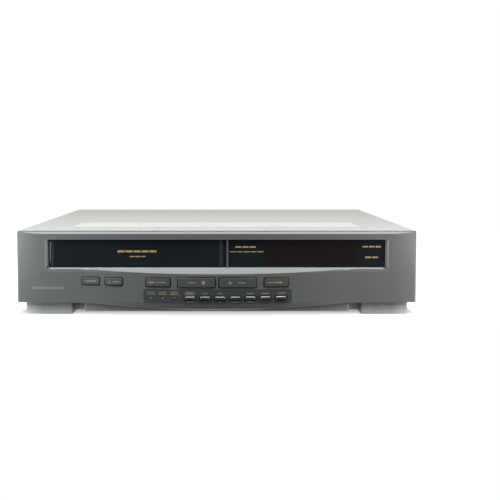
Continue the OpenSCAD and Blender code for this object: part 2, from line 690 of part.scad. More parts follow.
// Main board: beside the deck, in front of the power supply
main_x0 = deck_x + deck_w + 5;
main_x1 = inner_x - 8;
main_s0 = 70;
main_s1 = supply_s0 - 14;
board_z = pan_z + 5;                             // underside of both boards, on their pillars
parts_z = board_z + 1.6;                         // top of both boards
pillar_in = 6;                                   // from the corner of a board to its pillar
module pillars(x0, s0, x1, s1)
    for (x = [x0 + pillar_in, x1 - pillar_in], s = [s0 + pillar_in, s1 - pillar_in])
        rod_z(x, s, pan_z, board_z, 3);
module main_board() color(board_tan) {
    span([main_x0, main_s0, board_z], [main_x1, main_s1, parts_z]);
    pillars(main_x0, main_s0, main_x1, main_s1);
    // integrated circuits, a screened box and two rows of capacitors
    for (i = [0 : 3]) translate([main_x0 + 12 + i * 42, main_s0 + 14, board_z]) cube([22, 8, 5]);
    for (i = [0 : 2]) translate([main_x0 + 16 + i * 56, main_s0 + 34, board_z]) cube([26, 26, 5.4]);
    translate([main_x0 + 20, main_s1 - 50, board_z]) cube([60, 42, 17]);
    for (i = [0 : 5]) rod_z(main_x1 - 18 - i * 14, main_s1 - 44, board_z, board_z + 13, 4);
    for (i = [0 : 5]) rod_z(main_x1 - 18 - i * 14, main_s1 - 24, board_z, board_z + 11, 3.2);
}
module power_supply() color([0.55, 0.42, 0.22]) {
    span([supply_x0, supply_s0, board_z], [supply_x1, supply_s1, parts_z]);
    pillars(supply_x0, supply_s0, supply_x1, supply_s1);
    translate([supply_x0, supply_s0, board_z]) {
        // transformer: laminated core and windings
        translate([40, 10, 0]) cube([46, 40, 37]);
        translate([47, 4, 6]) cube([32, 52, 26]);
        // smoothing capacitors
        rod_z(18, 18, 0, 37, 11);
        rod_z(18, 46, 0, 31, 8);
        // heat sink with fins, and a choke
        translate([6, 66, 0]) cube([34, 2.5, 41]);
        for (i = [0 : 6]) translate([6 + i * 5.4, 68, 0]) cube([1.4, 12, 41]);
        rod_s(68, 64, 90, 5, 4);
    }
}

// ---------------------------------------------------------------- gears

pressure = 25;                                   // pressure angle of the teeth, in degrees
tip = 0.9;                                       // height of a tooth above its pitch circle, in modules
root = 1.2;                                      // depth of a gap below its pitch circle, in modules
function involute(rb, r) = r <= rb ? 0
    : let (p = sqrt(r * r / (rb * rb) - 1)) p * 180 / PI - atan(p);
function pitch_r(teeth) = gear_m * teeth / 2;
// Half the angle that a tooth fills at radius r
function half_tooth(teeth, r) =
    let (rp = pitch_r(teeth), rb = rp * cos(pressure))
    (90 / teeth) - backlash / 2 / rp * 90 / PI + involute(rb, rp) - involute(rb, r);
module gear_outline(teeth) {
    rp = pitch_r(teeth);
    rf = rp - root * gear_m;
    ra = rp + tip * gear_m;
    rs = max(rp * cos(pressure), rf + 0.05);
    radii = [rf, rs, (rs + 2 * rp) / 3, (rp + ra) / 2, ra];
    polygon([for (i = [0 : teeth - 1], side = [-1, 1], j = [0 : len(radii) - 1])
        let (r = side < 0 ? radii[j] : radii[len(radii) - 1 - j],
            a = 360 * i / teeth + side * half_tooth(teeth, r))
        [r * cos(a), r * sin(a)]]);
}
module gear(teeth, z0, z1, turn) translate([0, 0, z0]) rotate([0, 0, turn])
    linear_extrude(z1 - z0) gear_outline(teeth);
// Turn of a gear that meshes with one that is turned by turn_a and lies in the direction along
function mesh_turn(teeth_a, turn_a, teeth_b, along) =
    along + 180 + 180 / teeth_b - (turn_a - along) * teeth_a / teeth_b;
function dir(a, b) = atan2(b[1] - a[1], b[0] - a[0]);
function apart(a, b) = norm(b - a);
// Point at given distances from two points, on the side that lies to the left going from a to b
function corner_of(a, ra, b, rb) =
    let (d = apart(a, b), u = (b - a) / d, k = (ra * ra - rb * rb + d * d) / (2 * d))
    a + u * k + sqrt(ra * ra - k * k) * [-u[1], u[0]];

reel_teeth = 40;
clutch_teeth = 16;
idler_teeth = 24;
ring_teeth = 48;
pinion_teeth = 14;
takeup_at = [deck_x + reel_gap / 2, reel_s];
supply_at = [deck_x - reel_gap / 2, reel_s];
clutch_at = [deck_x, reel_s + 16];
idler_at = corner_of(clutch_at, pitch_r(clutch_teeth) + pitch_r(idler_teeth),
    takeup_at, pitch_r(idler_teeth) + pitch_r(reel_teeth));
clutch_turn = 0;
idler_turn = mesh_turn(clutch_teeth, clutch_turn, idler_teeth, dir(clutch_at, idler_at));
takeup_turn = mesh_turn(idler_teeth, idler_turn, reel_teeth, dir(idler_at, takeup_at));
ring_at = [deck_x - 70, drum_s + 25];
pinion_at = ring_at + [0, pitch_r(ring_teeth) + pitch_r(pinion_teeth)];
pinion_turn = mesh_turn(ring_teeth, 0, pinion_teeth, 90);

// ---------------------------------------------------------------- tape deck

drum_at = [deck_x, drum_s];
capstan_at = [deck_x + 58, drum_s - 42];
guide_at = [26, drum_s - 60];                    // where the right-hand guide rests, from the centre line
guide_centre = [-13.6, drum_s - 14.9];           // centre of its path
guide_turn = atan2(guide_at[1] - guide_centre[1], guide_at[0] - guide_centre[0]);
pinch_pivot = [deck_x + 84, drum_s - 14];
pinch_len = 30.6;
pinch_rest = -100;                               // direction of the arm at rest
tension_pivot = [deck_x - 70, drum_s - 32];
tension_at = [deck_x - 62, drum_s - 60];
erase_at = [deck_x - 54, drum_s - 42];
audio_at = [deck_x + 57, drum_s - 24];
pulley_r = 6;
clutch_pulley_r = 14;
belt_z = deck_z - 5;
gear_z0 = deck_z + 1.2;
gear_z1 = gear_z0 + 2.6;
deck_s0 = 46;
deck_s1 = 286;
post_r = 2;
tube_r = 5;

module guide_slot(a0, a1) difference() {
    intersection() {
        difference() {
            circle(thread_r + 2.4, $fn = 120);
            circle(thread_r - 2.4, $fn = 120);
        }
        polygon([[0, 0], for (i = [0 : 6]) 90 * [cos(a0 + (a1 - a0) * i / 6), sin(a0 + (a1 - a0) * i / 6)]]);
    }
}

module deck_chassis() color(zinc) {
    difference() {
        union() {
            span([deck_x - deck_w, deck_s0, deck_z - plate_t], [deck_x + deck_w, deck_s1, deck_z]);
            // folded sides that stand on the base pan
            for (x = [deck_x - deck_w, deck_x + deck_w - plate_t]) for (s = [deck_s0, deck_s1 - 30])
                span([x, s, pan_z], [x + plate_t, s + 30, deck_z]);
            rod_z(clutch_at[0], clutch_at[1], deck_z - 3, deck_z + 0.8, tube_r + 3);
            rod_z(capstan_at[0], capstan_at[1], deck_z - 2, deck_z + 5, 4);
        }
        rod_z(clutch_at[0], clutch_at[1], 0, body_h, tube_r + run_gap);
        rod_z(capstan_at[0], capstan_at[1], 0, body_h, capstan_r + run_gap);
        translate([deck_x, 0, deck_z - 2]) linear_extrude(4) for (m = [0, 1]) mirror([m, 0])
            translate(guide_centre) guide_slot(guide_turn - 4, guide_turn + thread_turn + 4);
        rod_z(pinion_at[0], pinion_at[1], 0, body_h, 4);
        // openings that lighten the plate
        for (x = [-78, 62]) span([deck_x + x, 62, 0], [deck_x + x + 16, 84, body_h]);
    }
    // shafts of the reels and the gears
    for (p = [takeup_at, supply_at]) rod_z(p[0], p[1], deck_z - eps, deck_z + 17, post_r);
    rod_z(idler_at[0], idler_at[1], deck_z - eps, gear_z1 + 1, post_r);
    rod_z(ring_at[0], ring_at[1], deck_z - 8, deck_z - plate_t + eps, post_r);
    rod_z(pinch_pivot[0], pinch_pivot[1], deck_z - eps, deck_z + 14, post_r);
    rod_z(tension_pivot[0], tension_pivot[1], deck_z - eps, deck_z + 6, post_r);
    for (p = [takeup_at, supply_at, idler_at]) rod_z(p[0], p[1], deck_z - eps, gear_z0 - 0.1, 4);
    rod_z(pinch_pivot[0], pinch_pivot[1], deck_z - eps, deck_z + 5.9, 3.4);
    rod_z(tension_pivot[0], tension_pivot[1], deck_z - eps, deck_z + 2.9, 3.4);
}

// The drum leans to the side about its seat on the deck
drum_z = deck_z + 8;
module at_drum() translate([drum_at[0], drum_at[1], drum_z]) rotate([0, drum_lean, 0]) children();
module drum_base() color([0.70, 0.71, 0.73]) difference() {
    union() {
        at_drum() cylinder(r = drum_r, h = 11, $fn = 96);
        at_drum() translate([0, 0, -7]) cylinder(r = drum_r - 6, h = 8, $fn = 96);
        // seat on the deck, and a post for the drum's wiring behind it
        translate([drum_at[0], drum_s, deck_z]) {
            span([-22, -16, 0], [22, 26, 7]);
            span([-14, drum_r + 1, 0], [14, drum_r + 5, 16]);
            span([-10, 20, 0], [10, drum_r + 4, 5]);
        }
    }
    span([drum_at[0] - 60, drum_s - 60, 0], [drum_at[0] + 60, drum_s + 60, deck_z]);
    at_drum() translate([0, 0, -4]) cylinder(r = 3 + run_gap, h = 30);
}
module head_drum() color([0.82, 0.83, 0.85]) at_drum() {
    difference() {
        translate([0, 0, 11.4]) cylinder(r = drum_r, h = 15, $fn = 96);
        translate([0, 0, 22]) difference() {
            cylinder(r = drum_r - 3, h = 10);
            translate([0, 0, -1]) cylinder(r = 10, h = 12);
        }
        for (a = [45 : 90 : 315]) rotate([0, 0, a]) translate([19, 0, 0]) cylinder(r = 4, h = 40);
        // windows in which the video heads sit
        for (a = [0, 180]) rotate([0, 0, a]) translate([drum_r - 1, -2.5, 11]) cube([3, 5, 2.4]);
    }
    for (a = [0, 180]) rotate([0, 0, a]) translate([drum_r - 2, -1, 11.6]) cube([2.05, 2, 1]);
    translate([0, 0, -3.8]) cylinder(r = 3, h = 16);
    translate([0, 0, 26]) cylinder(r = 7, h = 2);
}

fly_z = pan_z + 3.4;
module capstan_motor() color(board_green) {
    difference() {
        translate([capstan_at[0] - 36, capstan_at[1] - 34, pan_z]) cube([72, 68, 1.6]);
        rod_z(capstan_at[0], capstan_at[1], 0, body_h, 2.4);
    }
    // coils of the stator
    for (a = [0 : 45 : 315])
        rod_z(capstan_at[0] + 20 * cos(a), capstan_at[1] + 20 * sin(a), pan_z + 1.6, fly_z - 0.5, 5);
}
module capstan() color([0.80, 0.80, 0.82]) {
    rod_z(capstan_at[0], capstan_at[1], pan_z + 1, deck_z + 34, capstan_r);
    rod_z(capstan_at[0], capstan_at[1], fly_z, fly_z + 4.6, 30);
    difference() {
        rod_z(capstan_at[0], capstan_at[1], fly_z + 4, belt_z + 2.2, pulley_r + 1);
        seat_at(capstan_at, belt_z) rotate_extrude() translate([pulley_r, -1.5]) square([3, 3]);
    }
}

module clutch_gear() color([0.90, 0.88, 0.80]) difference() {
    union() {
        seat_at(clutch_at, 0) gear(clutch_teeth, gear_z0, gear_z1, clutch_turn);
        rod_z(clutch_at[0], clutch_at[1], deck_z - 3.2, gear_z0 + eps, tube_r);
        difference() {
            rod_z(clutch_at[0], clutch_at[1], belt_z - 2.2, deck_z - 3.2 + eps, clutch_pulley_r + 1);
            seat_at(clutch_at, belt_z) rotate_extrude()
                translate([clutch_pulley_r, -1.5]) square([3, 3]);
        }
    }
    rod_z(clutch_at[0], clutch_at[1], 0, body_h, 2);
}
// Flat belt round both pulleys: an arc round each, joined by the tangents that they share
belt_play = 0.15;
belt_steps = 24;
module belt_outline(grow) {
    d = apart(clutch_at, capstan_at);
    rc = clutch_pulley_r + belt_play + grow;
    rp = pulley_r + belt_play + grow;
    lean = acos((rc - rp) / d);
    translate(clutch_at) rotate(dir(clutch_at, capstan_at)) polygon(concat(
        [for (i = [0 : belt_steps]) let (a = lean + (360 - 2 * lean) * i / belt_steps)
            rc * [cos(a), sin(a)]],
        [for (i = [0 : belt_steps]) let (a = 2 * lean * i / belt_steps - lean)
            [d, 0] + rp * [cos(a), sin(a)]]));
}
module drive_belt() color([0.1, 0.1, 0.1]) plan_extrude(belt_z - 1.2, belt_z + 1.2) difference() {
    belt_outline(0.8);
    belt_outline(0);
}

module idler_gear() color([0.90, 0.88, 0.80]) difference() {
    seat_at(idler_at, 0) gear(idler_teeth, gear_z0, gear_z1, idler_turn);
    rod_z(idler_at[0], idler_at[1], 0, body_h, post_r + run_gap);
    for (a = [0 : 60 : 300]) rod_z(idler_at[0] + 7 * cos(a), idler_at[1] + 7 * sin(a), 0, body_h, 1.6);
}
// Reel table: toothed rim, flange and splined spindle
module reel(at, turn) difference() {
    union() {
        seat_at(at, 0) gear(reel_teeth, gear_z0, gear_z1, turn);
        rod_z(at[0], at[1], gear_z1 - eps, gear_z1 + 1.2, 17);
        rod_z(at[0], at[1], gear_z1, deck_z + 14, 7);
        seat_at(at, 0) for (a = [0 : 120 : 240]) rotate([0, 0, a])
            span([0, -1, gear_z1], [11, 1, deck_z + 12]);
        rod_z(at[0], at[1], deck_z + 14 - eps, deck_z + 16, 5);
    }
    rod_z(at[0], at[1], 0, body_h, post_r + run_gap);
}
module takeup_reel() color(matt_black) reel(takeup_at, takeup_turn);
module supply_reel() color(matt_black) reel(supply_at, 0);

// A threading guide: base, slanted post and roller
module guide() {
    difference() {
        rod_z(0, 0, deck_z + 0.3, deck_z + 4, 6);
        rod_z(0, 0, deck_z + 2, deck_z + 5, 1.2);
    }
    rod_z(0, 0, deck_z - plate_t - 1.5, deck_z + 0.4, 2);
    rod_z(0, 0, deck_z - plate_t - 2.3, deck_z - plate_t - 0.3, 4);
    rod_z(0, 0, deck_z + 2, deck_z + 27, 1.2);
    for (z = [6, 22]) rod_z(0, 0, deck_z + z, deck_z + z + 2, 3.6);
    rod_z(0, 0, deck_z + 7, deck_z + 23, 2.6);
}
module takeup_guide() color([0.78, 0.79, 0.80]) translate([deck_x + guide_at[0], guide_at[1], 0]) guide();
module supply_guide() color([0.78, 0.79, 0.80]) translate([deck_x - guide_at[0], guide_at[1], 0]) guide();

ring_z = deck_z - 6.4;
module loading_gear() color([0.90, 0.88, 0.80]) difference() {
    seat_at(ring_at, 0) gear(ring_teeth, ring_z, ring_z + 2.6, 0);
    rod_z(ring_at[0], ring_at[1], 0, body_h, post_r + run_gap);
    for (a = [0 : 72 : 288]) rod_z(ring_at[0] + 13 * cos(a), ring_at[1] + 13 * sin(a), 0, body_h, 4);
}
module loading_pinion() color([0.90, 0.88, 0.80]) difference() {
    union() {
        seat_at(pinion_at, 0) gear(pinion_teeth, ring_z - 0.4, ring_z + 3, pinion_turn);
        rod_z(pinion_at[0], pinion_at[1], ring_z + 2.9, deck_z - plate_t - 0.3, 3.4);
    }
    rod_z(pinion_at[0], pinion_at[1], 0, body_h, 1 + run_gap);
}
module loading_motor() color([0.62, 0.63, 0.64]) {
    rod_z(pinion_at[0], pinion_at[1], deck_z, deck_z + 26, 11.5);
    rod_z(pinion_at[0], pinion_at[1], deck_z - plate_t, deck_z + eps, 3.6);
    rod_z(pinion_at[0], pinion_at[1], ring_z - 1, deck_z, 1);
    rod_z(pinion_at[0], pinion_at[1], deck_z + 25, deck_z + 28, 3);
}

// An arm between two points in the plan, with round ends
module arm_outline(a, b, r) {
    web = 1.6 * r;
    translate(a) circle(r);
    translate(b) circle(r);
    translate(a) rotate(dir(a, b)) translate([0, -web / 2]) square([apart(a, b), web]);
}
module tension_arm() color(steel) difference() {
    union() {
        plan_extrude(deck_z + 3, deck_z + 4.2) arm_outline(tension_pivot, tension_at, 3.4);
        rod_z(tension_pivot[0], tension_pivot[1], deck_z + 4.1, deck_z + 7, 3);
        rod_z(tension_at[0], tension_at[1], deck_z + 4.1, deck_z + 28, 1.5);
        rod_z(tension_at[0], tension_at[1], deck_z + 26, deck_z + 28, 2.2);
    }
    rod_z(tension_pivot[0], tension_pivot[1], 0, body_h, post_r + run_gap);
}
pinch_at = pinch_pivot + pinch_len * [cos(pinch_rest), sin(pinch_rest)];
module pinch_arm() color(steel) difference() {
    union() {
        plan_extrude(deck_z + 6, deck_z + 7.6) arm_outline(pinch_pivot, pinch_at, 4.2);
        rod_z(pinch_pivot[0], pinch_pivot[1], deck_z + 7.5, deck_z + 13, 3.4);
        rod_z(pinch_at[0], pinch_at[1], deck_z + 7.5, deck_z + 30, post_r);
    }
    rod_z(pinch_pivot[0], pinch_pivot[1], 0, body_h, post_r + run_gap);
}
module pinch_roller() color([0.14, 0.14, 0.14])
    tube_z(pinch_at[0], pinch_at[1], deck_z + 8, deck_z + 28, pinch_r, post_r + run_gap);
module tape_head(at, w) translate([at[0], at[1], deck_z]) {
    span([-4, -4, 0], [4, 4, 8]);
    span([-w / 2, -w / 2, 8], [w / 2, w / 2, 23]);
}
module tape_heads() color([0.72, 0.72, 0.74]) {
    tape_head(erase_at, 7);
    tape_head(audio_at, 8);
}

// ---------------------------------------------------------------- cassette carriage

side_t = 1;
holder_x = tape_w / 2 + 1;                       // inner face of the holder's sides
slider_x = holder_x + side_t + 2.4;              // inner face of the slider's plates
frame_x = slider_x + plate_t + 1.4;              // inner face of the fixed frame's plates
holder_z0 = tape_z - 0.4 - side_t;
holder_z1 = tape_z + tape_h + 0.6;
guide_z = holder_z1 - 7;                         // height of the slider's pins
pin_z = holder_z0 + 9;                           // height of the holder's pins
peg_r = 1.5;
holder_s1 = holder_s + holder_d;                 // rear edge of the holder
frame_s1 = holder_s1 + carriage_in + 12;
frame_top = body_h - cover_t - 5;
module carriage_frame() color(zinc) {
    difference() {
        for (x = [-1, 1]) translate([deck_x + x * (frame_x + plate_t / 2), 0, 0])
            side_extrude(-plate_t / 2, plate_t / 2) polygon([[deck_s0 + 2, deck_z], [frame_s1, deck_z],
                [frame_s1, frame_top], [holder_s + 12, frame_top], [holder_s + 4, guide_z + 4],
                [holder_s + 4, guide_z - 8], [deck_s0 + 2, guide_z - 14]]);
        translate([deck_x - 130, 0, 0]) side_extrude(0, 260) for (k = [12, holder_d - 8])
            translate([holder_s + k, guide_z]) {
                circle(peg_r + 0.35);
                translate([carriage_in, 0]) circle(peg_r + 0.35);
                translate([0, -peg_r - 0.35]) square([carriage_in, 2 * peg_r + 0.7]);
            }
        // lightening holes
        for (s = [70 : 30 : 130]) translate([deck_x - 130, 0, 0]) rod_x(0, 260, s, deck_z + 18, 8);
    }
    // bridge between both sides, above the cassette
    span([deck_x - frame_x - eps, frame_s1 - 24, frame_top - plate_t],
        [deck_x + frame_x + eps, frame_s1 - 6, frame_top]);
}
module carriage_slider() color(steel) {
    bridge_z = holder_z1 + 1.6;
    difference() {
        for (x = [-1, 1]) translate([deck_x + x * (slider_x + plate_t / 2), 0, 0])
            side_extrude(-plate_t / 2, plate_t / 2) polygon([[holder_s + 1, holder_z1 + 2.6],
                [holder_s + 1, pin_z + 6], [holder_s + 6, pin_z - carriage_down - 4],
                [holder_s1 - 2, pin_z - carriage_down - 4], [holder_s1 - 2, holder_z1 + 2.6]]);
        translate([deck_x - 130, 0, 0]) side_extrude(0, 260) for (k = [20, holder_d - 16])
            translate([holder_s + k, pin_z]) {
                circle(peg_r + 0.35);
                translate([0, -carriage_down]) circle(peg_r + 0.35);
                translate([-peg_r - 0.35, -carriage_down]) square([2 * peg_r + 0.7, carriage_down]);
            }
    }
    span([deck_x - slider_x - eps, holder_s + 20, bridge_z],
        [deck_x + slider_x + eps, holder_s + 36, bridge_z + 1]);
    for (x = [-1, 1], k = [12, holder_d - 8]) translate([deck_x + x * (slider_x + plate_t), 0, 0])
        rod_x(x < 0 ? -1.4 - plate_t : -eps, x < 0 ? eps : 1.4 + plate_t, holder_s + k, guide_z, peg_r);
}
module cassette_holder() color(steel) {
    difference() {
        union() {
            translate([deck_x, 0, 0]) both_sides()
                span([holder_x, holder_s, holder_z0], [holder_x + side_t, holder_s1, holder_z1 + side_t]);
            span([deck_x - holder_x - eps, holder_s, holder_z1],
                [deck_x + holder_x + eps, holder_s1, holder_z1 + side_t]);
        }
        for (x = [-60, 20]) span([deck_x + x, holder_s + 14, 0], [deck_x + x + 40, holder_s1 - 14, body_h]);
    }
    // ledges under the cassette and stops behind it
    translate([deck_x, 0, 0]) both_sides() {
        span([holder_x - 18, holder_s, holder_z0], [holder_x + eps, holder_s1, holder_z0 + side_t]);
        span([holder_x - 7, holder_s1 - side_t, holder_z0], [holder_x + eps, holder_s1, holder_z0 + 16]);
        for (k = [20, holder_d - 16])
            rod_x(holder_x + side_t - eps, slider_x + plate_t, holder_s + k, pin_z, peg_r);
    }
}

// ---------------------------------------------------------------- the assembly

in_frame() top_cover();
in_frame() cover_screws();
in_frame() front_bezel();
in_frame() front_skirt();
in_frame() display_window();
in_frame() display_tube();
in_frame() front_board();
in_frame() key_plate();
in_frame() cassette_flap();
in_frame() flap_spring();
in_frame() large_key(0);  // power_key
in_frame() large_key(1);  // eject_key
in_frame() large_key(2);  // rewind_key
in_frame() large_key(3);  // stop_key
in_frame() large_key(4);  // play_key
in_frame() large_key(5);  // fast_forward_key
for (i = [0 : 6]) in_frame() small_key(i);
for (i = [0 : 2]) in_frame() pin_key(i);
in_frame() base_pan();
in_frame() front_feet();
in_frame() rear_feet();
in_frame() rear_panel();
in_frame() scart_socket(scart_xs[0]);  // scart_socket_1
in_frame() scart_socket(scart_xs[1]);  // scart_socket_2
in_frame() phono_sockets();
in_frame() aerial_unit();
in_frame() mains_inlet();
in_frame() main_board();
in_frame() power_supply();
in_frame() deck_chassis();
in_frame() carriage_frame();
in_frame() carriage_slider();
in_frame() cassette_holder();
in_frame() drum_base();
in_frame() head_drum();
in_frame() capstan_motor();
in_frame() capstan();
in_frame() drive_belt();
in_frame() clutch_gear();
in_frame() idler_gear();
in_frame() takeup_reel();
in_frame() supply_reel();
in_frame() supply_guide();
in_frame() takeup_guide();
in_frame() loading_gear();
in_frame() loading_pinion();
in_frame() loading_motor();
in_frame() tension_arm();
in_frame() pinch_arm();
in_frame() pinch_roller();
in_frame() tape_heads();
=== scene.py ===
"""Slim video cassette recorder: finishes, printed marks, soft edges and a plain studio.

The frame holds every piece at its real place, in metres. This file gives each piece its finish, with
painted highlights and painted shade on some, adds what is printed or stuck on and the painted highlights on
the small keys, rounds the edges that the eye meets first, and sets the camera and lights.
"""

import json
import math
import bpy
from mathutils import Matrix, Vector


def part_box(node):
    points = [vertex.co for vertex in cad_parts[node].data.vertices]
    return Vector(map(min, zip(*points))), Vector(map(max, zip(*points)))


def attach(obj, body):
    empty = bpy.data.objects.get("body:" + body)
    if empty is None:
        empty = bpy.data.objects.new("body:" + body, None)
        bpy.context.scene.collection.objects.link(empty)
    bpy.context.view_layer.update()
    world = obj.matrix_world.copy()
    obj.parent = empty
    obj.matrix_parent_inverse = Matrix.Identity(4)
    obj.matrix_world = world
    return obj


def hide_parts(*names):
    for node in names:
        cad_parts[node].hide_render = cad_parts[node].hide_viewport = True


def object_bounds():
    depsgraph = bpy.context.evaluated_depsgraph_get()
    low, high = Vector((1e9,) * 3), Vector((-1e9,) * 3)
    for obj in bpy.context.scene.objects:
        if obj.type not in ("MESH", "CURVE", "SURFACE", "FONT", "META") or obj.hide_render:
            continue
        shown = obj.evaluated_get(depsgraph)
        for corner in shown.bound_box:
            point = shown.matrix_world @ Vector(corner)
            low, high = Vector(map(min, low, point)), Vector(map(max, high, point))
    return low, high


bl_info = {
    "name": "Video Cassette Recorder",
    "version": (1, 0, 0),
    "blender": (4, 5, 0),
    "location": "View3D > Sidebar > Recorder",
    "description": "Finishes, printed marks and studio for a slim video cassette recorder",
    "category": "Add Mesh",
}

import bpy
from bpy.props import FloatProperty, FloatVectorProperty, PointerProperty
from mathutils import Vector

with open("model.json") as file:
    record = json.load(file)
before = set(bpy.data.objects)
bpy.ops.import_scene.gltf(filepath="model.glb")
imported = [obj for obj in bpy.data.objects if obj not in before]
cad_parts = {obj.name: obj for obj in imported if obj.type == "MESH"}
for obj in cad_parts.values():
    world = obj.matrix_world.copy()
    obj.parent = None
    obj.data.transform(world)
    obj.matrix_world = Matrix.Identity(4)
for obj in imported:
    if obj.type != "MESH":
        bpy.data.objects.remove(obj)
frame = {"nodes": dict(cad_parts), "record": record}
CAD_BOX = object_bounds()
MM = 0.001
BOX = {name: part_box(name) for name in frame["nodes"]}
BODY = {node: body for body, nodes in frame["record"]["behaviour"]["bodies"].items() for node in nodes}
SLOT = {part["node"]: part["material_slot"] for part in frame["record"]["subparts"]}


# ---------------------------------------------------------------- sizes and colours


class RecorderFinish(bpy.types.PropertyGroup):
    """Colours of the finishes that show"""

    cover: FloatVectorProperty(
        name="Cover", description="Paint of the top cover", subtype="COLOR", size=3,
        default=(0.3, 0.305, 0.285))
    bezel: FloatVectorProperty(
        name="Front panel", description="Metallic grey of the front panel", subtype="COLOR", size=3,
        default=(0.212, 0.223, 0.22))
    key: FloatVectorProperty(
        name="Keys", description="Grey of the keys", subtype="COLOR", size=3,
        default=(0.175, 0.197, 0.207))
    small_key: FloatVectorProperty(
        name="Small keys", description="Near-black grey of the small keys", subtype="COLOR", size=3,
        default=(0.085, 0.097, 0.104))
    plate: FloatVectorProperty(
        name="Key plate", description="Blue-grey of the plate round the small keys", subtype="COLOR",
        size=3, default=(0.1, 0.115, 0.122))
    print_gold: FloatVectorProperty(
        name="Print", description="Gold of the printed marks", subtype="COLOR", size=3,
        default=(0.62, 0.44, 0.18))
    print_dot: FloatVectorProperty(
        name="Record dot", description="Orange of the record mark", subtype="COLOR", size=3,
        default=(0.85, 0.14, 0.02))


class RecorderPrint(bpy.types.PropertyGroup):
    """Sizes of what is printed and stuck on"""

    lift: FloatProperty(
        name="Lift", description="Height of the print's back above its surface", unit="LENGTH",
        default=0.02 * MM)
    thickness: FloatProperty(
        name="Thickness", description="Thickness of the printed film", unit="LENGTH", default=0.06 * MM)
    dash: FloatProperty(
        name="Dash", description="Height of a printed dash", unit="LENGTH", default=0.9 * MM)
    symbol: FloatProperty(
        name="Symbol", description="Height of a symbol on a key", unit="LENGTH", default=3.6 * MM)
    label_thickness: FloatProperty(
        name="Label thickness", description="Thickness of the label strip", unit="LENGTH",
        default=0.12 * MM)
    label_front: FloatProperty(
        name="Label front", description="Label's front edge, back from the cover's front edge",
        unit="LENGTH", default=4.5 * MM)
    label_depth: FloatProperty(
        name="Label depth", description="Depth of the label strip", unit="LENGTH", default=60 * MM)
    label_left: FloatProperty(
        name="Label left", description="Left end of the label strip", unit="LENGTH", default=-163 * MM)
    label_right: FloatProperty(
        name="Label right", description="Right end of the label strip", unit="LENGTH", default=161 * MM)


class RecorderStudio(bpy.types.PropertyGroup):
    """Camera and lights"""

    camera_x: FloatProperty(
        name="Camera across", description="Camera's place across", unit="LENGTH", default=7.55 * MM)
    camera_y: FloatProperty(
        name="Camera depth", description="Camera's place along the depth", unit="LENGTH",
        default=-913.45 * MM)
    camera_z: FloatProperty(
        name="Camera height", description="Camera's height above the table", unit="LENGTH",
        default=166.7 * MM)
    pitch: FloatProperty(
        name="Pitch", description="Downward tilt of the camera", subtype="ANGLE",
        default=math.radians(2.29))
    lens: FloatProperty(
        name="Lens", description="Focal length in millimetres on a 36 mm sensor", default=51.13)
    shift_x: FloatProperty(name="Shift across", description="Lens shift across", default=0.0524)
    shift_y: FloatProperty(name="Shift up", description="Lens shift upward", default=-0.125)
    left_power: FloatProperty(
        name="Left light", description="Power of the left softbox", subtype="POWER", default=0.66)
    right_power: FloatProperty(
        name="Right light", description="Power of the right softbox", subtype="POWER", default=0.64)
    top_power: FloatProperty(
        name="Top light", description="Power of the softbox overhead", subtype="POWER", default=16.5)
    room_front: FloatProperty(
        name="Room in front", description="Brightness of the room behind the camera", default=0.035)
    room_back: FloatProperty(
        name="Room behind", description="Brightness of the room behind the recorder", default=0.3)
    floor_glow: FloatProperty(
        name="Floor glow", description="Added brightness of the floor away from the recorder", default=1.0)


# ---------------------------------------------------------------- node helpers


def new_finish(name, colour, roughness, metallic=0.0):
    """A material with one shader, whose even values are set on the shader itself."""
    material = bpy.data.materials.new(name)
    material.use_nodes = True
    shader = material.node_tree.nodes["Principled BSDF"]
    shader.inputs["Base Color"].default_value = (*colour, 1)
    shader.inputs["Roughness"].default_value = roughness
    shader.inputs["Metallic"].default_value = metallic
    material.diffuse_color = (*colour, 1)
    return material, shader


def axes_of(owner, kind="Object"):
    """The X, Y and Z of the coordinates of a material or the world."""
    tree = owner.node_tree
    place = tree.nodes.new("ShaderNodeTexCoord")
    axes = tree.nodes.new("ShaderNodeSeparateXYZ")
    tree.links.new(place.outputs[kind], axes.inputs["Vector"])
    return axes.outputs


def calc(owner, operation, first, second=0.0):
    """One Math node; what goes in are sockets or numbers."""
    tree = owner.node_tree
    node = tree.nodes.new("ShaderNodeMath")
    node.operation = operation
    for socket, value in zip(node.inputs, (first, second)):
        if isinstance(value, (int, float)):
            socket.default_value = value
        else:
            tree.links.new(value, socket)
    return node.outputs["Value"]


def object_noise(material, scale, detail=3.0, stretch=(1, 1, 1)):
    """Noise on Object coordinates, in metres, stretched along an axis where asked."""
    nodes, links = material.node_tree.nodes, material.node_tree.links
    place = nodes.new("ShaderNodeTexCoord")
    mapping = nodes.new("ShaderNodeMapping")
    mapping.inputs["Scale"].default_value = stretch
    noise = nodes.new("ShaderNodeTexNoise")
    noise.inputs["Scale"].default_value = scale
    noise.inputs["Detail"].default_value = detail
    links.new(place.outputs["Object"], mapping.inputs["Vector"])
    links.new(mapping.outputs["Vector"], noise.inputs["Vector"])
    return noise.outputs["Fac"]


def spread(owner, value, low, high, start=0.3, end=0.7):
    """Turns a value from start to end into one from low to high."""
    node = owner.node_tree.nodes.new("ShaderNodeMapRange")
    for socket, number in zip(("From Min", "From Max", "To Min", "To Max"), (start, end, low, high)):
        node.inputs[socket].default_value = number
    owner.node_tree.links.new(value, node.inputs["Value"])
    return node.outputs["Result"]


def ramp(owner, value, low, high, start, end):
    """Spreads a value with smooth ends."""
    level = spread(owner, value, low, high, start, end)
    level.node.interpolation_type = "SMOOTHSTEP"
    return level


def between(material, value, near, far, rise, fall):
    """1 where a value lies from near to far and 0 elsewhere, with a rise and a fall inside those ends."""
    return calc(material, "MULTIPLY", spread(material, value, 0, 1, near, near + rise),
                spread(material, value, 1, 0, far - fall, far))


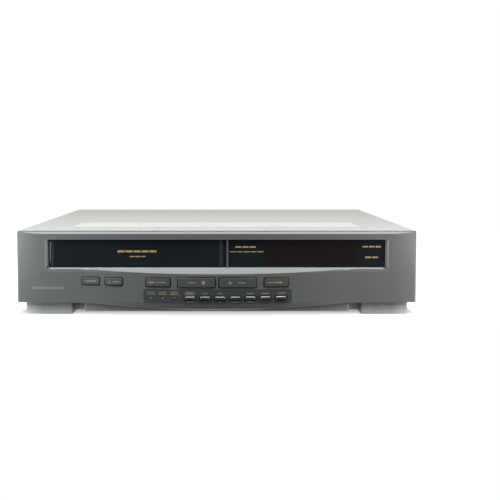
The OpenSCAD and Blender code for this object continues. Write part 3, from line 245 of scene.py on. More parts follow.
def tint(material, value, dark, light):
    """Mixes two colours by a pattern."""
    node = material.node_tree.nodes.new("ShaderNodeMix")
    node.data_type = "RGBA"
    node.inputs["A"].default_value = (*dark, 1)
    node.inputs["B"].default_value = (*light, 1)
    material.node_tree.links.new(value, node.inputs["Factor"])
    return node.outputs["Result"]


def lay_over(material, name, factor, value):
    """Mixes a value or a colour, by a factor, over what feeds the shader's input of that name."""
    tree = material.node_tree
    socket = tree.nodes["Principled BSDF"].inputs[name]
    mix = tree.nodes.new("ShaderNodeMix")
    if not isinstance(value, float):
        mix.data_type = "RGBA"
        value = (*value, 1)
    tree.links.new(factor, mix.inputs["Factor"])
    tree.links.new(socket.links[0].from_socket, mix.inputs["A"])
    mix.inputs["B"].default_value = value
    tree.links.new(mix.outputs["Result"], socket)


def grain(material, shader, value, distance, strength=0.5):
    """Raises the surface by a pattern, by at most distance metres."""
    bump = material.node_tree.nodes.new("ShaderNodeBump")
    bump.inputs["Strength"].default_value = strength
    bump.inputs["Distance"].default_value = distance
    material.node_tree.links.new(value, bump.inputs["Height"])
    material.node_tree.links.new(bump.outputs["Normal"], shader.inputs["Normal"])


def shade(colour, factor):
    """The colour made lighter or darker."""
    return tuple(min(1.0, c * factor) for c in colour)


def moulding(name, colour, roughness, metallic=0.0, texture=2600, depth=0.02 * MM):
    """Moulded plastic: slightly uneven colour, a fine spark grain and soft gloss changes."""
    material, shader = new_finish(name, colour, roughness, metallic)
    links = material.node_tree.links
    patches = object_noise(material, 26, 2)
    flecks = object_noise(material, texture, 2)
    even = spread(material, patches, 0.25, 0.75)
    colours = tint(material, even, shade(colour, 0.95), shade(colour, 1.05))
    fleck = tint(material, spread(material, flecks, 0, 1), shade(colour, 0.8), shade(colour, 1.2))
    mix = material.node_tree.nodes.new("ShaderNodeMix")
    mix.data_type = "RGBA"
    mix.inputs["Factor"].default_value = 0.5
    links.new(colours, mix.inputs["A"])
    links.new(fleck, mix.inputs["B"])
    links.new(mix.outputs["Result"], shader.inputs["Base Color"])
    links.new(spread(material, patches, roughness - 0.03, roughness + 0.03), shader.inputs["Roughness"])
    grain(material, shader, flecks, depth)
    return material


def sheet_metal(name, colour, roughness, stretch, texture=900, spangle=0.08):
    """Rolled or brushed metal: streaks along one way and a change of gloss."""
    material, shader = new_finish(name, colour, roughness, metallic=1.0)
    links = material.node_tree.links
    streaks = object_noise(material, texture, 3, stretch)
    clouds = object_noise(material, 40, 2)
    links.new(tint(material, spread(material, clouds, 0, 1), shade(colour, 1 - spangle),
                   shade(colour, 1 + spangle)), shader.inputs["Base Color"])
    links.new(spread(material, streaks, roughness - 0.08, roughness + 0.08), shader.inputs["Roughness"])
    grain(material, shader, streaks, 0.01 * MM, 0.4)
    return material


# ---------------------------------------------------------------- finishes


def cover_paint(colour):
    """Fine-textured paint on sheet steel."""
    material, shader = new_finish("cover_paint", colour, 0.5)
    links = material.node_tree.links
    rolled = object_noise(material, 60, 3, (0.12, 1, 1))
    spray = object_noise(material, 1900, 2)
    links.new(tint(material, spread(material, rolled, 0, 1), shade(colour, 0.97), shade(colour, 1.03)),
              shader.inputs["Base Color"])
    links.new(spread(material, spray, 0.44, 0.56), shader.inputs["Roughness"])
    grain(material, shader, spray, 0.03 * MM, 0.35)
    return material


def bezel_finish(colour):
    """Metallic grey moulding, half-gloss on its face and polished along its flat top, with painted
    highlights and painted shade.
    """
    material = moulding("bezel_plastic", colour, 0.36, metallic=0.15)
    axes = axes_of(material)
    top = CAD_BOX[1].z
    flat_top = spread(material, axes["Z"], 0, 1, top - 0.6 * MM, top - 0.3 * MM)
    lay_over(material, "Roughness", flat_top, 0.14)
    # The lip along the lower edge is painted lighter, a painted reflection of the floor
    lip = BOX["front_bezel"][0].z
    painted_lip_highlight = spread(material, axes["Z"], 1, 0, lip + 0.5 * MM, lip + 1.3 * MM)
    lay_over(material, "Base Color", painted_lip_highlight, shade(colour, 2.4))
    # The chamfers at the window's two ends are painted lighter too, as painted highlights
    left, right = BOX["cassette_flap"][0], BOX["display_window"][1]
    low, high = left.z - 1 * MM, BOX["cassette_flap"][1].z + 0.3 * MM
    tall = between(material, axes["Z"], low, high, 1 * MM, 1 * MM)
    for near, far in ((left.x - 1.7 * MM, left.x - 0.3 * MM), (right.x - 1.2 * MM, right.x + 0.2 * MM)):
        wide = between(material, axes["X"], near, far, 0.3 * MM, 0.1 * MM)
        lay_over(material, "Base Color", calc(material, "MULTIPLY", wide, tall), shade(colour, 1.8))
    # The ledge is painted lighter, as painted light from above, and the foot of the bulge darker, as
    # painted shade. Each has, in mm, where it starts and stops to fade away from the middle, its bottom and
    # its top, and then its tone
    ledge_painted_light, foot_painted_shade = (180, 182, 46, 50.6, 1.2), (60, 125, 9.1, 15, 0.7)
    across = calc(material, "ABSOLUTE", axes["X"])
    for start, stop, bottom, top, tone in (ledge_painted_light, foot_painted_shade):
        wide = spread(material, across, 1, 0, start * MM, stop * MM)
        tall = between(material, axes["Z"], bottom * MM, top * MM, 0.5 * MM, 0.5 * MM)
        lay_over(material, "Base Color", calc(material, "MULTIPLY", wide, tall), shade(colour, tone))
    shader = material.node_tree.nodes["Principled BSDF"]
    bump = shader.inputs["Normal"].links[0].from_node
    material.node_tree.links.new(spread(material, flat_top, 0.3, 0.03, 0, 1), bump.inputs["Strength"])
    return material


def chin_finish(colour):
    """The bezel's grey, glossier, painted lighter toward the far ends of the feet as a painted highlight,
    and a little darker toward the middle as painted shade.
    """
    material = moulding("chin_plastic", colour, 0.3, metallic=0.15)
    across = calc(material, "ABSOLUTE", axes_of(material)["X"])
    # Painted shade toward the middle and a painted highlight toward the far ends of the feet
    inner = spread(material, across, 1, 0, 160 * MM, 178 * MM)
    outer = spread(material, across, 0, 1, 188 * MM, 208 * MM)
    lay_over(material, "Base Color", inner, shade(colour, 0.97))
    lay_over(material, "Base Color", outer, shade(colour, 1.9))
    return material


def board_finish():
    """Paper-based circuit board: tan laminate with darker tracks showing through."""
    base, track = (0.30, 0.19, 0.075), (0.2, 0.15, 0.06)
    material, shader = new_finish("board", base, 0.55)
    nodes, links = material.node_tree.nodes, material.node_tree.links
    place = nodes.new("ShaderNodeTexCoord")
    cells = nodes.new("ShaderNodeTexBrick")
    cells.inputs["Scale"].default_value = 90
    cells.inputs["Mortar Size"].default_value = 0.06
    cells.inputs["Color1"].default_value = (*base, 1)
    cells.inputs["Color2"].default_value = (*shade(base, 0.85), 1)
    cells.inputs["Mortar"].default_value = (*track, 1)
    links.new(place.outputs["Object"], cells.inputs["Vector"])
    links.new(cells.outputs["Color"], shader.inputs["Base Color"])
    grain(material, shader, cells.outputs["Fac"], 0.03 * MM)
    return material


def gloss_black(name, colour, ribs=()):
    """Glossy black moulding with the faint unevenness of a large flat; ribs (in mm across) are painted
    lighter, a painted sheen.
    """
    material, shader = new_finish(name, colour, 0.08)
    links = material.node_tree.links
    wave = object_noise(material, 14, 1)
    haze = object_noise(material, 240, 3)
    links.new(spread(material, haze, 0.05, 0.13), shader.inputs["Roughness"])
    links.new(tint(material, spread(material, wave, 0, 1), shade(colour, 0.85), shade(colour, 1.2)),
              shader.inputs["Base Color"])
    grain(material, shader, wave, 0.05 * MM, 0.1)
    if ribs:
        x = axes_of(material)["X"]
        for left, right in ribs:
            centre, half = (left + right) / 2 * MM, (right - left) / 2 * MM
            away = calc(material, "ABSOLUTE", calc(material, "SUBTRACT", x, centre))
            # Each rib is painted lighter, as a painted sheen
            painted_rib_sheen = spread(material, away, 1, 0, half * 0.7, half * 1.1)
            lay_over(material, "Base Color", painted_rib_sheen, shade(colour, 2.6))
    return material


def lens_finish(colour):
    """Smoked acrylic: blue-black over the front, brown-black in front of the display tube."""
    brown = (0.02, 0.0155, 0.0145)
    material, shader = new_finish("tinted_lens", colour, 0.06)
    links = material.node_tree.links
    axes = axes_of(material)
    low, high = BOX["display_tube"]
    edge = 2.5 * MM
    wide = between(material, axes["X"], low.x - edge, high.x + edge, 2 * edge, 2 * edge)
    tall = between(material, axes["Z"], low.z - edge, high.z + edge, 2 * edge, 2 * edge)
    area = calc(material, "MULTIPLY", wide, tall)
    links.new(tint(material, area, colour, brown), shader.inputs["Base Color"])
    haze = object_noise(material, 200, 2)
    links.new(spread(material, haze, 0.04, 0.1), shader.inputs["Roughness"])
    return material


def printed(name, colour, roughness=0.45, metallic=0.0):
    """A slightly uneven film: screen-printed ink, and also the painted highlights on the small keys and the
    last pin.
    """
    material, shader = new_finish(name, colour, roughness, metallic)
    speckle = object_noise(material, 1500, 2)
    material.node_tree.links.new(
        tint(material, spread(material, speckle, 0, 1), shade(colour, 0.88), shade(colour, 1.1)),
        shader.inputs["Base Color"])
    return material


def label_film():
    """Milky protective film, a little mottled where it has lifted."""
    colour = (0.4, 0.395, 0.365)
    material, shader = new_finish("label_film", colour, 0.35)
    links = material.node_tree.links
    mottle = object_noise(material, 75, 3, (0.5, 1.4, 1))
    links.new(tint(material, spread(material, mottle, 0, 1), shade(colour, 0.84), shade(colour, 1.06)),
              shader.inputs["Base Color"])
    links.new(spread(material, mottle, 0.25, 0.5), shader.inputs["Roughness"])
    grain(material, shader, mottle, 0.1 * MM, 0.3)
    return material


def make_finishes(colours):
    """Every finish by the name of its material slot."""
    black = (0.016, 0.022, 0.026)
    # The left and right edges of the flap's two ribs, in mm across
    flap_ribs = ((-177.4, -174.5), (2.4, 6.7))
    return {
        "cover_paint": cover_paint(colours.cover),
        "bezel_plastic": bezel_finish(colours.bezel),
        "chin_plastic": chin_finish(shade(colours.bezel, 1.9)),
        "key_plastic": moulding("key_plastic", colours.key, 0.4, metallic=0.4),
        "small_key_plastic": moulding("small_key_plastic", colours.small_key, 0.25, metallic=0.3),
        "plate_plastic": moulding("plate_plastic", colours.plate, 0.42, metallic=0.2),
        "gloss_black": gloss_black("gloss_black", black, ribs=flap_ribs),
        "tinted_lens": lens_finish(black),
        "zinc_steel": sheet_metal("zinc_steel", (0.56, 0.57, 0.56), 0.38, (1, 0.2, 1), spangle=0.12),
        "bright_steel": sheet_metal("bright_steel", (0.65, 0.65, 0.66), 0.25, (1, 1, 0.1)),
        "aluminium": sheet_metal("aluminium", (0.7, 0.7, 0.72), 0.3, (1, 1, 12), texture=700),
        "black_plastic": moulding("black_plastic", (0.02, 0.02, 0.022), 0.5),
        "natural_plastic": moulding("natural_plastic", (0.72, 0.69, 0.6), 0.45),
        "rubber": moulding("rubber", (0.02, 0.02, 0.02), 0.8, texture=1200, depth=0.05 * MM),
        "board": board_finish(),
        "tube_glass": gloss_black("tube_glass", (0.03, 0.022, 0.02)),
        "brass": sheet_metal("brass", (0.75, 0.6, 0.3), 0.3, (1, 1, 0.2)),
        "rear_paint": moulding("rear_paint", (0.03, 0.03, 0.032), 0.55, texture=1500, depth=0.05 * MM),
    }


# ---------------------------------------------------------------- modelling helpers


def only(piece):
    """Selects one piece alone."""
    bpy.ops.object.select_all(action="DESELECT")
    piece.select_set(True)
    bpy.context.view_layer.objects.active = piece


def settle(piece):
    """Puts the piece's place, turn and size into its mesh."""
    only(piece)
    bpy.ops.object.transform_apply(location=True, rotation=True, scale=True)


def join(name, pieces):
    """Joins pieces into one of that name."""
    bpy.ops.object.select_all(action="DESELECT")
    for piece in pieces:
        piece.select_set(True)
    bpy.context.view_layer.objects.active = pieces[0]
    if len(pieces) > 1:
        bpy.ops.object.join()
    pieces[0].name = name
    return pieces[0]


def flat_shape(kind, x, z, width, height, turn=0.0):
    """A flat mark in front of the panel, facing forward: a bar, a disc or a triangle that points right."""
    bpy.ops.object.select_all(action="DESELECT")
    place = (x, CAD_BOX[0].y - 5 * MM, z)
    upright = (math.pi / 2, 0, 0)
    if kind == "bar":
        bpy.ops.mesh.primitive_plane_add(size=1, location=place, rotation=upright)
    elif kind == "disc":
        bpy.ops.mesh.primitive_circle_add(vertices=24, radius=0.5, fill_type="NGON", location=place,
                                          rotation=upright)
    else:
        bpy.ops.mesh.primitive_circle_add(vertices=3, radius=1, fill_type="NGON", location=place,
                                          rotation=(math.pi / 2, math.pi / 2, 0))
    mark = bpy.context.object
    settle(mark)
    low = [min(v.co[i] for v in mark.data.vertices) for i in range(3)]
    high = [max(v.co[i] for v in mark.data.vertices) for i in range(3)]
    bpy.ops.object.mode_set(mode="EDIT")
    bpy.ops.mesh.select_all(action="SELECT")
    centre = ((low[0] + high[0]) / 2, place[1], (low[2] + high[2]) / 2)
    bpy.ops.transform.resize(value=(width / (high[0] - low[0]), 1, height / (high[2] - low[2])),
                             center_override=centre)
    bpy.ops.transform.translate(value=(x - centre[0], 0, z - centre[2]))
    if turn:
        bpy.ops.transform.rotate(value=turn, orient_axis="Y", center_override=(x, place[1], z))
    # A long bar is cut across, so that it can follow the bulge
    if kind == "bar" and width > 4 * MM:
        bpy.ops.mesh.subdivide(number_cuts=6)
    bpy.ops.object.mode_set(mode="OBJECT")
    return mark


def bar(x, z, width, height, turn=0.0):
    """A bar with its centre in metres and its size in mm."""
    return flat_shape("bar", x, z, width * MM, height * MM, turn)


def dashes(x, z, width, count, height):
    """A row of dashes with narrow gaps, centred at x, in mm."""
    gap = 1.2
    pitch = width / count
    start = x - width / 2 + pitch / 2
    return [bar((start + n * pitch) * MM, z * MM, pitch - gap, height) for n in range(count)]


def lay_film_on(name, node, marks, material, sizes):
    """Lays flat marks on a node's front, as one film that follows its surface, and rides on its body."""
    film = join(name, marks)
    wrap = film.modifiers.new("follow", "SHRINKWRAP")
    wrap.target = frame["nodes"][node]
    wrap.wrap_method = "PROJECT"
    wrap.use_project_y = True
    wrap.use_positive_direction = True
    wrap.use_negative_direction = False
    wrap.wrap_mode = "ABOVE_SURFACE"
    wrap.offset = sizes.lift
    body = film.modifiers.new("film", "SOLIDIFY")
    body.thickness = sizes.thickness
    body.offset = 1
    only(film)
    bpy.ops.object.modifier_apply(modifier="follow")
    # A mark that misses the surface stays where it was, in front of it
    if min(v.co.y for v in film.data.vertices) < BOX[node][0].y - 1 * MM:
        raise RuntimeError("a mark of %s reaches past the surface of %s" % (name, node))
    bpy.ops.object.modifier_apply(modifier="film")
    film.data.materials.clear()
    film.data.materials.append(material)
    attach(film, BODY[node])
    return film


def soften(node, radius):
    """A copy of a node whose sharp edges are rounded; it stands for the node."""
    source = frame["nodes"][node]
    piece = bpy.data.objects.new(node + "_moulding", source.data.copy())
    bpy.context.collection.objects.link(piece)
    only(piece)
    bpy.ops.object.mode_set(mode="EDIT")
    bpy.ops.mesh.select_all(action="SELECT")
    bpy.ops.mesh.remove_doubles(threshold=0.002 * MM)
    bpy.ops.mesh.dissolve_limited(angle_limit=math.radians(0.4))
    bpy.ops.object.mode_set(mode="OBJECT")
    rounding = piece.modifiers.new("rounding", "BEVEL")
    rounding.width = radius
    rounding.segments = 3
    rounding.limit_method = "ANGLE"
    rounding.angle_limit = math.radians(32)
    rounding.use_clamp_overlap = True
    rounding.miter_outer = "MITER_ARC"
    bpy.ops.object.modifier_apply(modifier="rounding")
    bpy.ops.object.shade_smooth_by_angle(angle=math.radians(30))
    even = piece.modifiers.new("even", "WEIGHTED_NORMAL")
    even.keep_sharp = True
    bpy.ops.object.modifier_apply(modifier="even")
    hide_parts(node)
    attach(piece, BODY[node])
    return piece


def middle(node):
    """Centre of a node's box."""
    low, high = BOX[node]
    return (low + high) / 2


# ---------------------------------------------------------------- operators


class RECORDER_OT_finishes(bpy.types.Operator):
    """Give every piece of the frame its finish"""

    bl_idname = "recorder.finishes"
    bl_label = "Finishes"

    def execute(self, context):
        finishes = make_finishes(context.scene.recorder_finish)
        for name, piece in frame["nodes"].items():
            piece.data.materials.clear()
            piece.data.materials.append(finishes[SLOT[name]])
        return {"FINISHED"}


class RECORDER_OT_soft_edges(bpy.types.Operator):
    """Copy the mouldings that the eye meets first, with their edges rounded as a mould leaves them"""

    bl_idname = "recorder.soft_edges"
    bl_label = "Soft edges"

    def execute(self, context):
        rounds = {"front_bezel": 0.35, "key_plate": 0.2, "cassette_flap": 0.25, "display_window": 0.2,
                  "front_feet": 0.5, "front_skirt": 0.4}
        for name in frame["nodes"]:
            if name.endswith("_key"):
                rounds[name] = 0.45
            elif name.startswith("small_key"):
                rounds[name] = 0.35
            elif name.startswith("pin_key"):
                rounds[name] = 0.25
        for name, radius in rounds.items():
            soften(name, radius * MM)
        return {"FINISHED"}


class RECORDER_OT_key_marks(bpy.types.Operator):
    """Print the symbols and dashes on the large keys"""

    bl_idname = "recorder.key_marks"
    bl_label = "Key marks"

    def execute(self, context):
        sizes = context.scene.recorder_print
        gold = printed("print_gold", context.scene.recorder_finish.print_gold)
        tall, dash = sizes.symbol / MM, sizes.dash / MM
        up, left, right = math.pi / 2, -math.pi, 0.0
        # Each mark: its shape, its place across from the key's centre, its width and height in mm, its turn
        marks = {
            "power_key": [("bar", 0, 12.5, dash, 0.0)],
            "eject_key": [("triangle", -5, 3.2, 2.4, up), ("bar", 2.4, 7.5, dash, 0.0)],
            "rewind_key": [("triangle", -9, 3.4, 2.8, left), ("triangle", -5.8, 3.4, 2.8, left),
                           ("bar", 3, 11, dash, 0.0)],
            "stop_key": [("bar", -5, 9, dash, 0.0), ("bar", 7.3, 3.4, 3.4, 0.0)],
            "play_key": [("triangle", -7.2, 4, tall, right), ("bar", 4.4, 8.5, dash, 0.0)],
            "fast_forward_key": [("bar", -5, 8, dash, 0.0), ("triangle", 1.9, 3.4, 2.8, right),
                                 ("triangle", 5.1, 3.4, 2.8, right)],
        }
        for node, shapes in marks.items():
            centre = middle(node)
            flats = [flat_shape(kind, centre.x + x * MM, centre.z, w * MM, h * MM, turn)
                     for kind, x, w, h, turn in shapes]
            lay_film_on(node + "_marks", node, flats, gold, sizes)
        return {"FINISHED"}


class RECORDER_OT_plate_marks(bpy.types.Operator):
    """Print the signs round the small keys, and lay a light line of painted highlight along each small
    key's top edge
    """

    bl_idname = "recorder.plate_marks"
    bl_label = "Plate marks"

    def execute(self, context):
        sizes = context.scene.recorder_print
        colours = context.scene.recorder_finish
        keys = [middle("small_key_%d" % number) for number in range(1, 8)]
        pins = [middle("pin_key_%d" % number) for number in range(1, 4)]
        above, below = keys[0].z + 5 * MM, keys[0].z - 4.1 * MM
        signs = self.signs_above(keys, pins, above) + self.signs_below(keys, below)
        lay_film_on("plate_signs", "key_plate", signs, printed("plate_print", (0.5, 0.43, 0.28)), sizes)
        record = [flat_shape("disc", keys[6].x - 3 * MM, above, 1.7 * MM, 1.7 * MM),
                  bar(keys[5].x, below, 5.5, 0.7)]
        lay_film_on("record_signs", "key_plate", record, printed("record_print", colours.print_dot), sizes)
        # The light lines along the small keys' top edges and the last pin's arch are painted highlights
        painted_highlight = printed("key_edge_highlight", (0.68, 0.69, 0.67), 0.3)
        self.key_edges(painted_highlight, sizes)
        dome = printed("pin_dome", (0.42, 0.42, 0.41), 0.3)
        for number, pin in enumerate(pins[:2], 1):
            node = "pin_key_%d" % number
            lay_film_on(node + "_dome", node, [flat_shape("disc", pin.x, pin.z, 2 * MM, 2 * MM)], dome, sizes)
        # The last pin has a small arch of painted highlight instead
        x, crown = pins[2].x, pins[2].z + 0.7 * MM
        arch = [bar(x, crown, 1.2, 0.4)]
        arch += [bar(x + side * 0.75 * MM, crown - 0.5 * MM, 0.35, 1) for side in (-1, 1)]
        lay_film_on("pin_key_3_arch", "pin_key_3", arch, painted_highlight, sizes)
        return {"FINISHED"}

    def signs_above(self, keys, pins, above):
        """Two dashes over each pin, a framed dash, two ticks and plain dashes over the small keys."""
        signs = []
        for pin in pins:
            signs += [bar(pin.x, above + 1.1 * MM, 8, 0.75), bar(pin.x, above - 1 * MM, 9, 0.75)]
        framed = keys[0].x
        signs += [bar(framed, above + 1.5 * MM, 10, 0.5), bar(framed, above - 1.5 * MM, 10, 0.5),
                  bar(framed - 4.75 * MM, above, 0.5, 3), bar(framed + 4.75 * MM, above, 0.5, 3),
                  bar(framed, above, 6.5, 0.9)]
        # A tick down and a tick up, each of two leaning bars
        for key, tilt in ((keys[1], 0.8), (keys[2], -0.8)):
            signs += [bar(key.x + side * 1.15 * MM, above, 3.4, 0.6, side * tilt) for side in (-1, 1)]
        return signs + [bar(keys[4].x, above, 8, 0.8), bar(keys[5].x, above, 8, 0.8),
                        bar(keys[6].x + 1.6 * MM, above, 6, 0.8)]

    def signs_below(self, keys, below):
        """Dashes, a minus and a plus under the small keys."""
        signs = [bar(keys[index].x, below, 7.5, 1) for index in (0, 3, 4)]
        return signs + [bar(keys[1].x, below, 2.2, 0.6), bar(keys[2].x, below, 2.4, 0.6),
                        bar(keys[2].x, below, 0.6, 1.7)]

    def key_edges(self, painted_highlight, sizes):
        """A painted highlight: the light line round the top of each small key."""
        for number in range(1, 8):
            node = "small_key_%d" % number
            low, high = BOX[node]
            x, top, half = middle(node).x, high.z - 0.6 * MM, (high.x - low.x) / 2
            end, drop = half - 0.8 * MM, top - 0.8 * MM
            edge = [bar(x, top, (2 * half - 2.2 * MM) / MM, 0.7)]
            edge += [bar(x + side * end, drop, 0.6, 1.6) for side in (-1, 1)]
            lay_film_on(node + "_edge", node, edge, painted_highlight, sizes)


class RECORDER_OT_window_marks(bpy.types.Operator):
    """Print plain gold dashes on the flap and the display window, and fix a blank badge on the panel"""

    bl_idname = "recorder.window_marks"
    bl_label = "Window marks and badge"

    def execute(self, context):
        sizes = context.scene.recorder_print
        gold = printed("window_print", context.scene.recorder_finish.print_gold)
        # Each row of dashes: its centre across and up, its width, how many, and their height, in mm
        rows = {
            "flap_dashes": ("cassette_flap", ((-85.4, 67.9, 43, 5, 2.2), (-84.8, 62.4, 18, 3, 1.1))),
            "window_dashes": ("display_window", ((30.7, 72.6, 23, 3, 1.8), (32, 67.5, 37, 5, 0.9),
                                                 (166, 73, 21, 3, 1.5), (166, 61.5, 15, 2, 1.5))),
        }
        for name, (node, places) in rows.items():
            lay_film_on(name, node, [mark for place in places for mark in dashes(*place)], gold, sizes)
        badge = printed("badge", (0.5, 0.47, 0.38), 0.3, metallic=0.4)
        lay_film_on("blank_badge", "front_bezel", [bar(-180.5 * MM, 28.8 * MM, 34, 3)], badge, sizes)
        return {"FINISHED"}


class RECORDER_OT_cover_label(bpy.types.Operator):
    """Lay the pale strip of film along the front of the cover"""

    bl_idname = "recorder.cover_label"
    bl_label = "Cover label"

    def execute(self, context):
        sizes = context.scene.recorder_print
        low, high = BOX["top_cover"]
        across = (sizes.label_left + sizes.label_right) / 2
        depth = low.y + sizes.label_front + sizes.label_depth / 2
        bpy.ops.object.select_all(action="DESELECT")
        bpy.ops.mesh.primitive_plane_add(size=1, location=(across, depth, high.z + sizes.lift))
        strip = bpy.context.object
        strip.name = "cover_label"
        strip.scale = (sizes.label_right - sizes.label_left, sizes.label_depth, 1)
        settle(strip)
        film = strip.modifiers.new("film", "SOLIDIFY")
        film.thickness = sizes.label_thickness
        film.offset = 1
        bpy.ops.object.modifier_apply(modifier="film")
        strip.data.materials.append(label_film())
        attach(strip, BODY["top_cover"])
        return {"FINISHED"}


class RECORDER_OT_stage(bpy.types.Operator):
    """Set the camera, the floor, the world and the softboxes"""

    bl_idname = "recorder.stage"
    bl_label = "Stage"

    def execute(self, context):
        studio = context.scene.recorder_studio
        self.camera(context, studio)
        self.floor(studio)
        self.world(context, studio)
        front = CAD_BOX[0].y
        cool, warm, plain = (0.93, 0.98, 1.0), (1.0, 0.98, 0.95), (1.0, 1.0, 1.0)
        side_size, top_size = (0.12, 0.3), (1.3, 0.4)
        for name, side, power, colour in (("left_softbox", -1, studio.left_power, cool),
                                          ("right_softbox", 1, studio.right_power, warm)):
            self.softbox(name, Vector((side * 0.36, front - 0.12, 0.15)),
                         Vector((side * 0.2, front, 0.05)), side_size, power, colour)
        # Most of the light from above leaves no mirror image of its lamp in the edges
        sparkle = 0.15
        overhead, aim = Vector((0, front - 0.1, 0.85)), Vector((0, front - 0.05, 0))
        self.softbox("top_softbox", overhead, aim, top_size, studio.top_power * (1 - sparkle), plain)
        bpy.context.object.visible_glossy = False
        self.softbox("top_sparkle", overhead + Vector((0, 0, 0.05)), aim, top_size,
                     studio.top_power * sparkle, plain)
        context.scene.view_settings.view_transform = "Standard"
        return {"FINISHED"}

    def camera(self, context, studio):
        bpy.ops.object.camera_add(location=(studio.camera_x, studio.camera_y, studio.camera_z),
                                  rotation=(math.pi / 2 - studio.pitch, 0, 0))
        camera = bpy.context.object
        camera.data.sensor_width = 36
        camera.data.lens = studio.lens
        camera.data.shift_x = studio.shift_x
        camera.data.shift_y = studio.shift_y
        camera.data.clip_start = 0.01
        camera.data.clip_end = 50
        context.scene.camera = camera

    def floor(self, studio):
        near, far, half = CAD_BOX[0].y - 0.035, CAD_BOX[1].y + 0.6, 0.8
        bpy.ops.mesh.primitive_plane_add(size=1, location=(0, (near + far) / 2, 0))
        floor = bpy.context.object
        floor.name = "floor"
        floor.scale = (2 * half, far - near, 1)
        settle(floor)
        floor.data.materials.append(self.floor_white(studio))

    def floor_white(self, studio):
        """White as it is seen, and dark to the light that it would throw back up at the front."""
        material = bpy.data.materials.new("floor_white")
        material.use_nodes = True
        nodes, links = material.node_tree.nodes, material.node_tree.links
        nodes.clear()
        axes = axes_of(material)
        seen = self.seen(material, axes["Y"], CAD_BOX[0].y)
        paint = nodes.new("ShaderNodeBsdfDiffuse")
        links.new(ramp(material, seen, 0.06, 0.3, 0, 1), paint.inputs["Color"])
        # The glow is low beneath the recorder and just round it, which paints its shadow there, and full in
        # front of it, behind it and soon beside it
        steepness = 6
        beside = calc(material, "SUBTRACT", calc(material, "ABSOLUTE", axes["X"]), CAD_BOX[1].x)
        beside = calc(material, "MULTIPLY", beside, steepness)
        ahead = calc(material, "SUBTRACT", CAD_BOX[0].y, axes["Y"])
        after = calc(material, "SUBTRACT", axes["Y"], CAD_BOX[1].y)
        away = calc(material, "MAXIMUM", beside, calc(material, "MAXIMUM", ahead, after))
        reach = ramp(material, away, 0.34, studio.floor_glow, -0.043, 0.0)
        glow = nodes.new("ShaderNodeEmission")
        links.new(calc(material, "MULTIPLY", seen, reach), glow.inputs["Strength"])
        both = nodes.new("ShaderNodeAddShader")
        links.new(paint.outputs["BSDF"], both.inputs[0])
        links.new(glow.outputs["Emission"], both.inputs[1])
        # From below the floor is clear, so that the recorder's underside shows
        side = nodes.new("ShaderNodeNewGeometry")
        clear = nodes.new("ShaderNodeBsdfTransparent")
        mix = nodes.new("ShaderNodeMixShader")
        output = nodes.new("ShaderNodeOutputMaterial")
        links.new(side.outputs["Backfacing"], mix.inputs["Fac"])
        links.new(both.outputs["Shader"], mix.inputs[1])
        links.new(clear.outputs["BSDF"], mix.inputs[2])
        links.new(mix.outputs["Shader"], output.inputs["Surface"])
        return material

    def seen(self, owner, depth, limit):
        """1 for rays from the camera, and from metal and glass past a depth; otherwise 0."""
        path = owner.node_tree.nodes.new("ShaderNodeLightPath")
        shiny = calc(owner, "MAXIMUM", path.outputs["Is Glossy Ray"], path.outputs["Is Transmission Ray"])
        past = calc(owner, "GREATER_THAN", depth, limit)
        return calc(owner, "MAXIMUM", path.outputs["Is Camera Ray"], calc(owner, "MULTIPLY", past, shiny))

    def world(self, context, studio):
        world = bpy.data.worlds.new("studio")
        context.scene.world = world
        world.use_nodes = True
        nodes, links = world.node_tree.nodes, world.node_tree.links
        nodes.clear()
        # The room is dark behind the camera and pale behind the recorder
        depth = axes_of(world, "Generated")["Y"]
        soft = nodes.new("ShaderNodeBackground")
        room = ramp(world, depth, studio.room_front, studio.room_back, -0.6, 0.4)
        links.new(room, soft.inputs["Strength"])
        # The camera sees white everywhere, and metal and glass see it behind the recorder
        white = nodes.new("ShaderNodeBackground")
        white.inputs["Color"].default_value = (1, 1, 1, 1)
        mix = nodes.new("ShaderNodeMixShader")
        output = nodes.new("ShaderNodeOutputWorld")
        links.new(self.seen(world, depth, 0.3), mix.inputs["Fac"])
        links.new(soft.outputs["Background"], mix.inputs[1])
        links.new(white.outputs["Background"], mix.inputs[2])
        links.new(mix.outputs["Shader"], output.inputs["Surface"])

    def softbox(self, name, place, aim, size, power, colour):
        turn = (aim - place).to_track_quat("-Z", "Y").to_euler()
        bpy.ops.object.light_add(type="AREA", location=place, rotation=turn)
        lamp = bpy.context.object
        lamp.name = name
        lamp.data.shape = "RECTANGLE"
        lamp.data.size, lamp.data.size_y = size
        lamp.data.energy = power
        lamp.data.color = colour
        lamp.visible_camera = False


class RECORDER_PT_panel(bpy.types.Panel):
    """Builds the recorder's looks, piece by piece"""

    bl_label = "Recorder"
    bl_idname = "RECORDER_PT_panel"
    bl_space_type = "VIEW_3D"
    bl_region_type = "UI"
    bl_category = "Recorder"

    def draw(self, context):
        for operator in OPERATORS:
            self.layout.operator(operator.bl_idname)
        for group in GROUPS:
            settings = getattr(context.scene, group)
            for name in settings.bl_rna.properties.keys():
                if name not in ("rna_type", "name"):
                    self.layout.prop(settings, name)


GROUPS = {
    "recorder_finish": RecorderFinish,
    "recorder_print": RecorderPrint,
    "recorder_studio": RecorderStudio,
}
OPERATORS = (
    RECORDER_OT_stage,
    RECORDER_OT_finishes,
    RECORDER_OT_soft_edges,
    RECORDER_OT_key_marks,
    RECORDER_OT_plate_marks,
    RECORDER_OT_window_marks,
    RECORDER_OT_cover_label,
)


def register():
    for kind in (*GROUPS.values(), *OPERATORS, RECORDER_PT_panel):
        bpy.utils.register_class(kind)
    for name, kind in GROUPS.items():
        setattr(bpy.types.Scene, name, PointerProperty(type=kind))


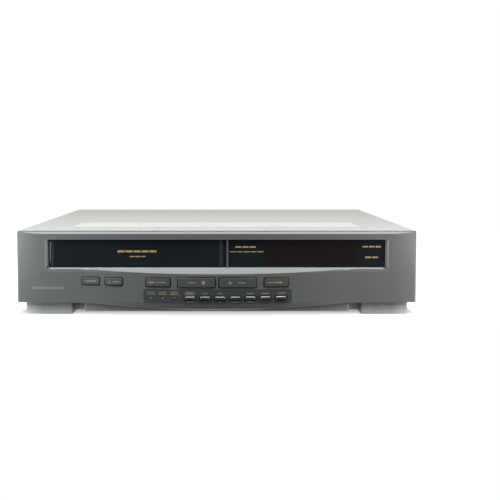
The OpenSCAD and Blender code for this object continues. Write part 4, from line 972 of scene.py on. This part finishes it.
def unregister():
    for name in GROUPS:
        delattr(bpy.types.Scene, name)
    for kind in reversed((*GROUPS.values(), *OPERATORS, RECORDER_PT_panel)):
        bpy.utils.unregister_class(kind)


def main():
    register()
    bpy.ops.recorder.stage()
    bpy.ops.recorder.finishes()
    bpy.ops.recorder.soft_edges()
    bpy.ops.recorder.key_marks()
    bpy.ops.recorder.plate_marks()
    bpy.ops.recorder.window_marks()
    bpy.ops.recorder.cover_label()


if __name__ == "__main__":
    main()
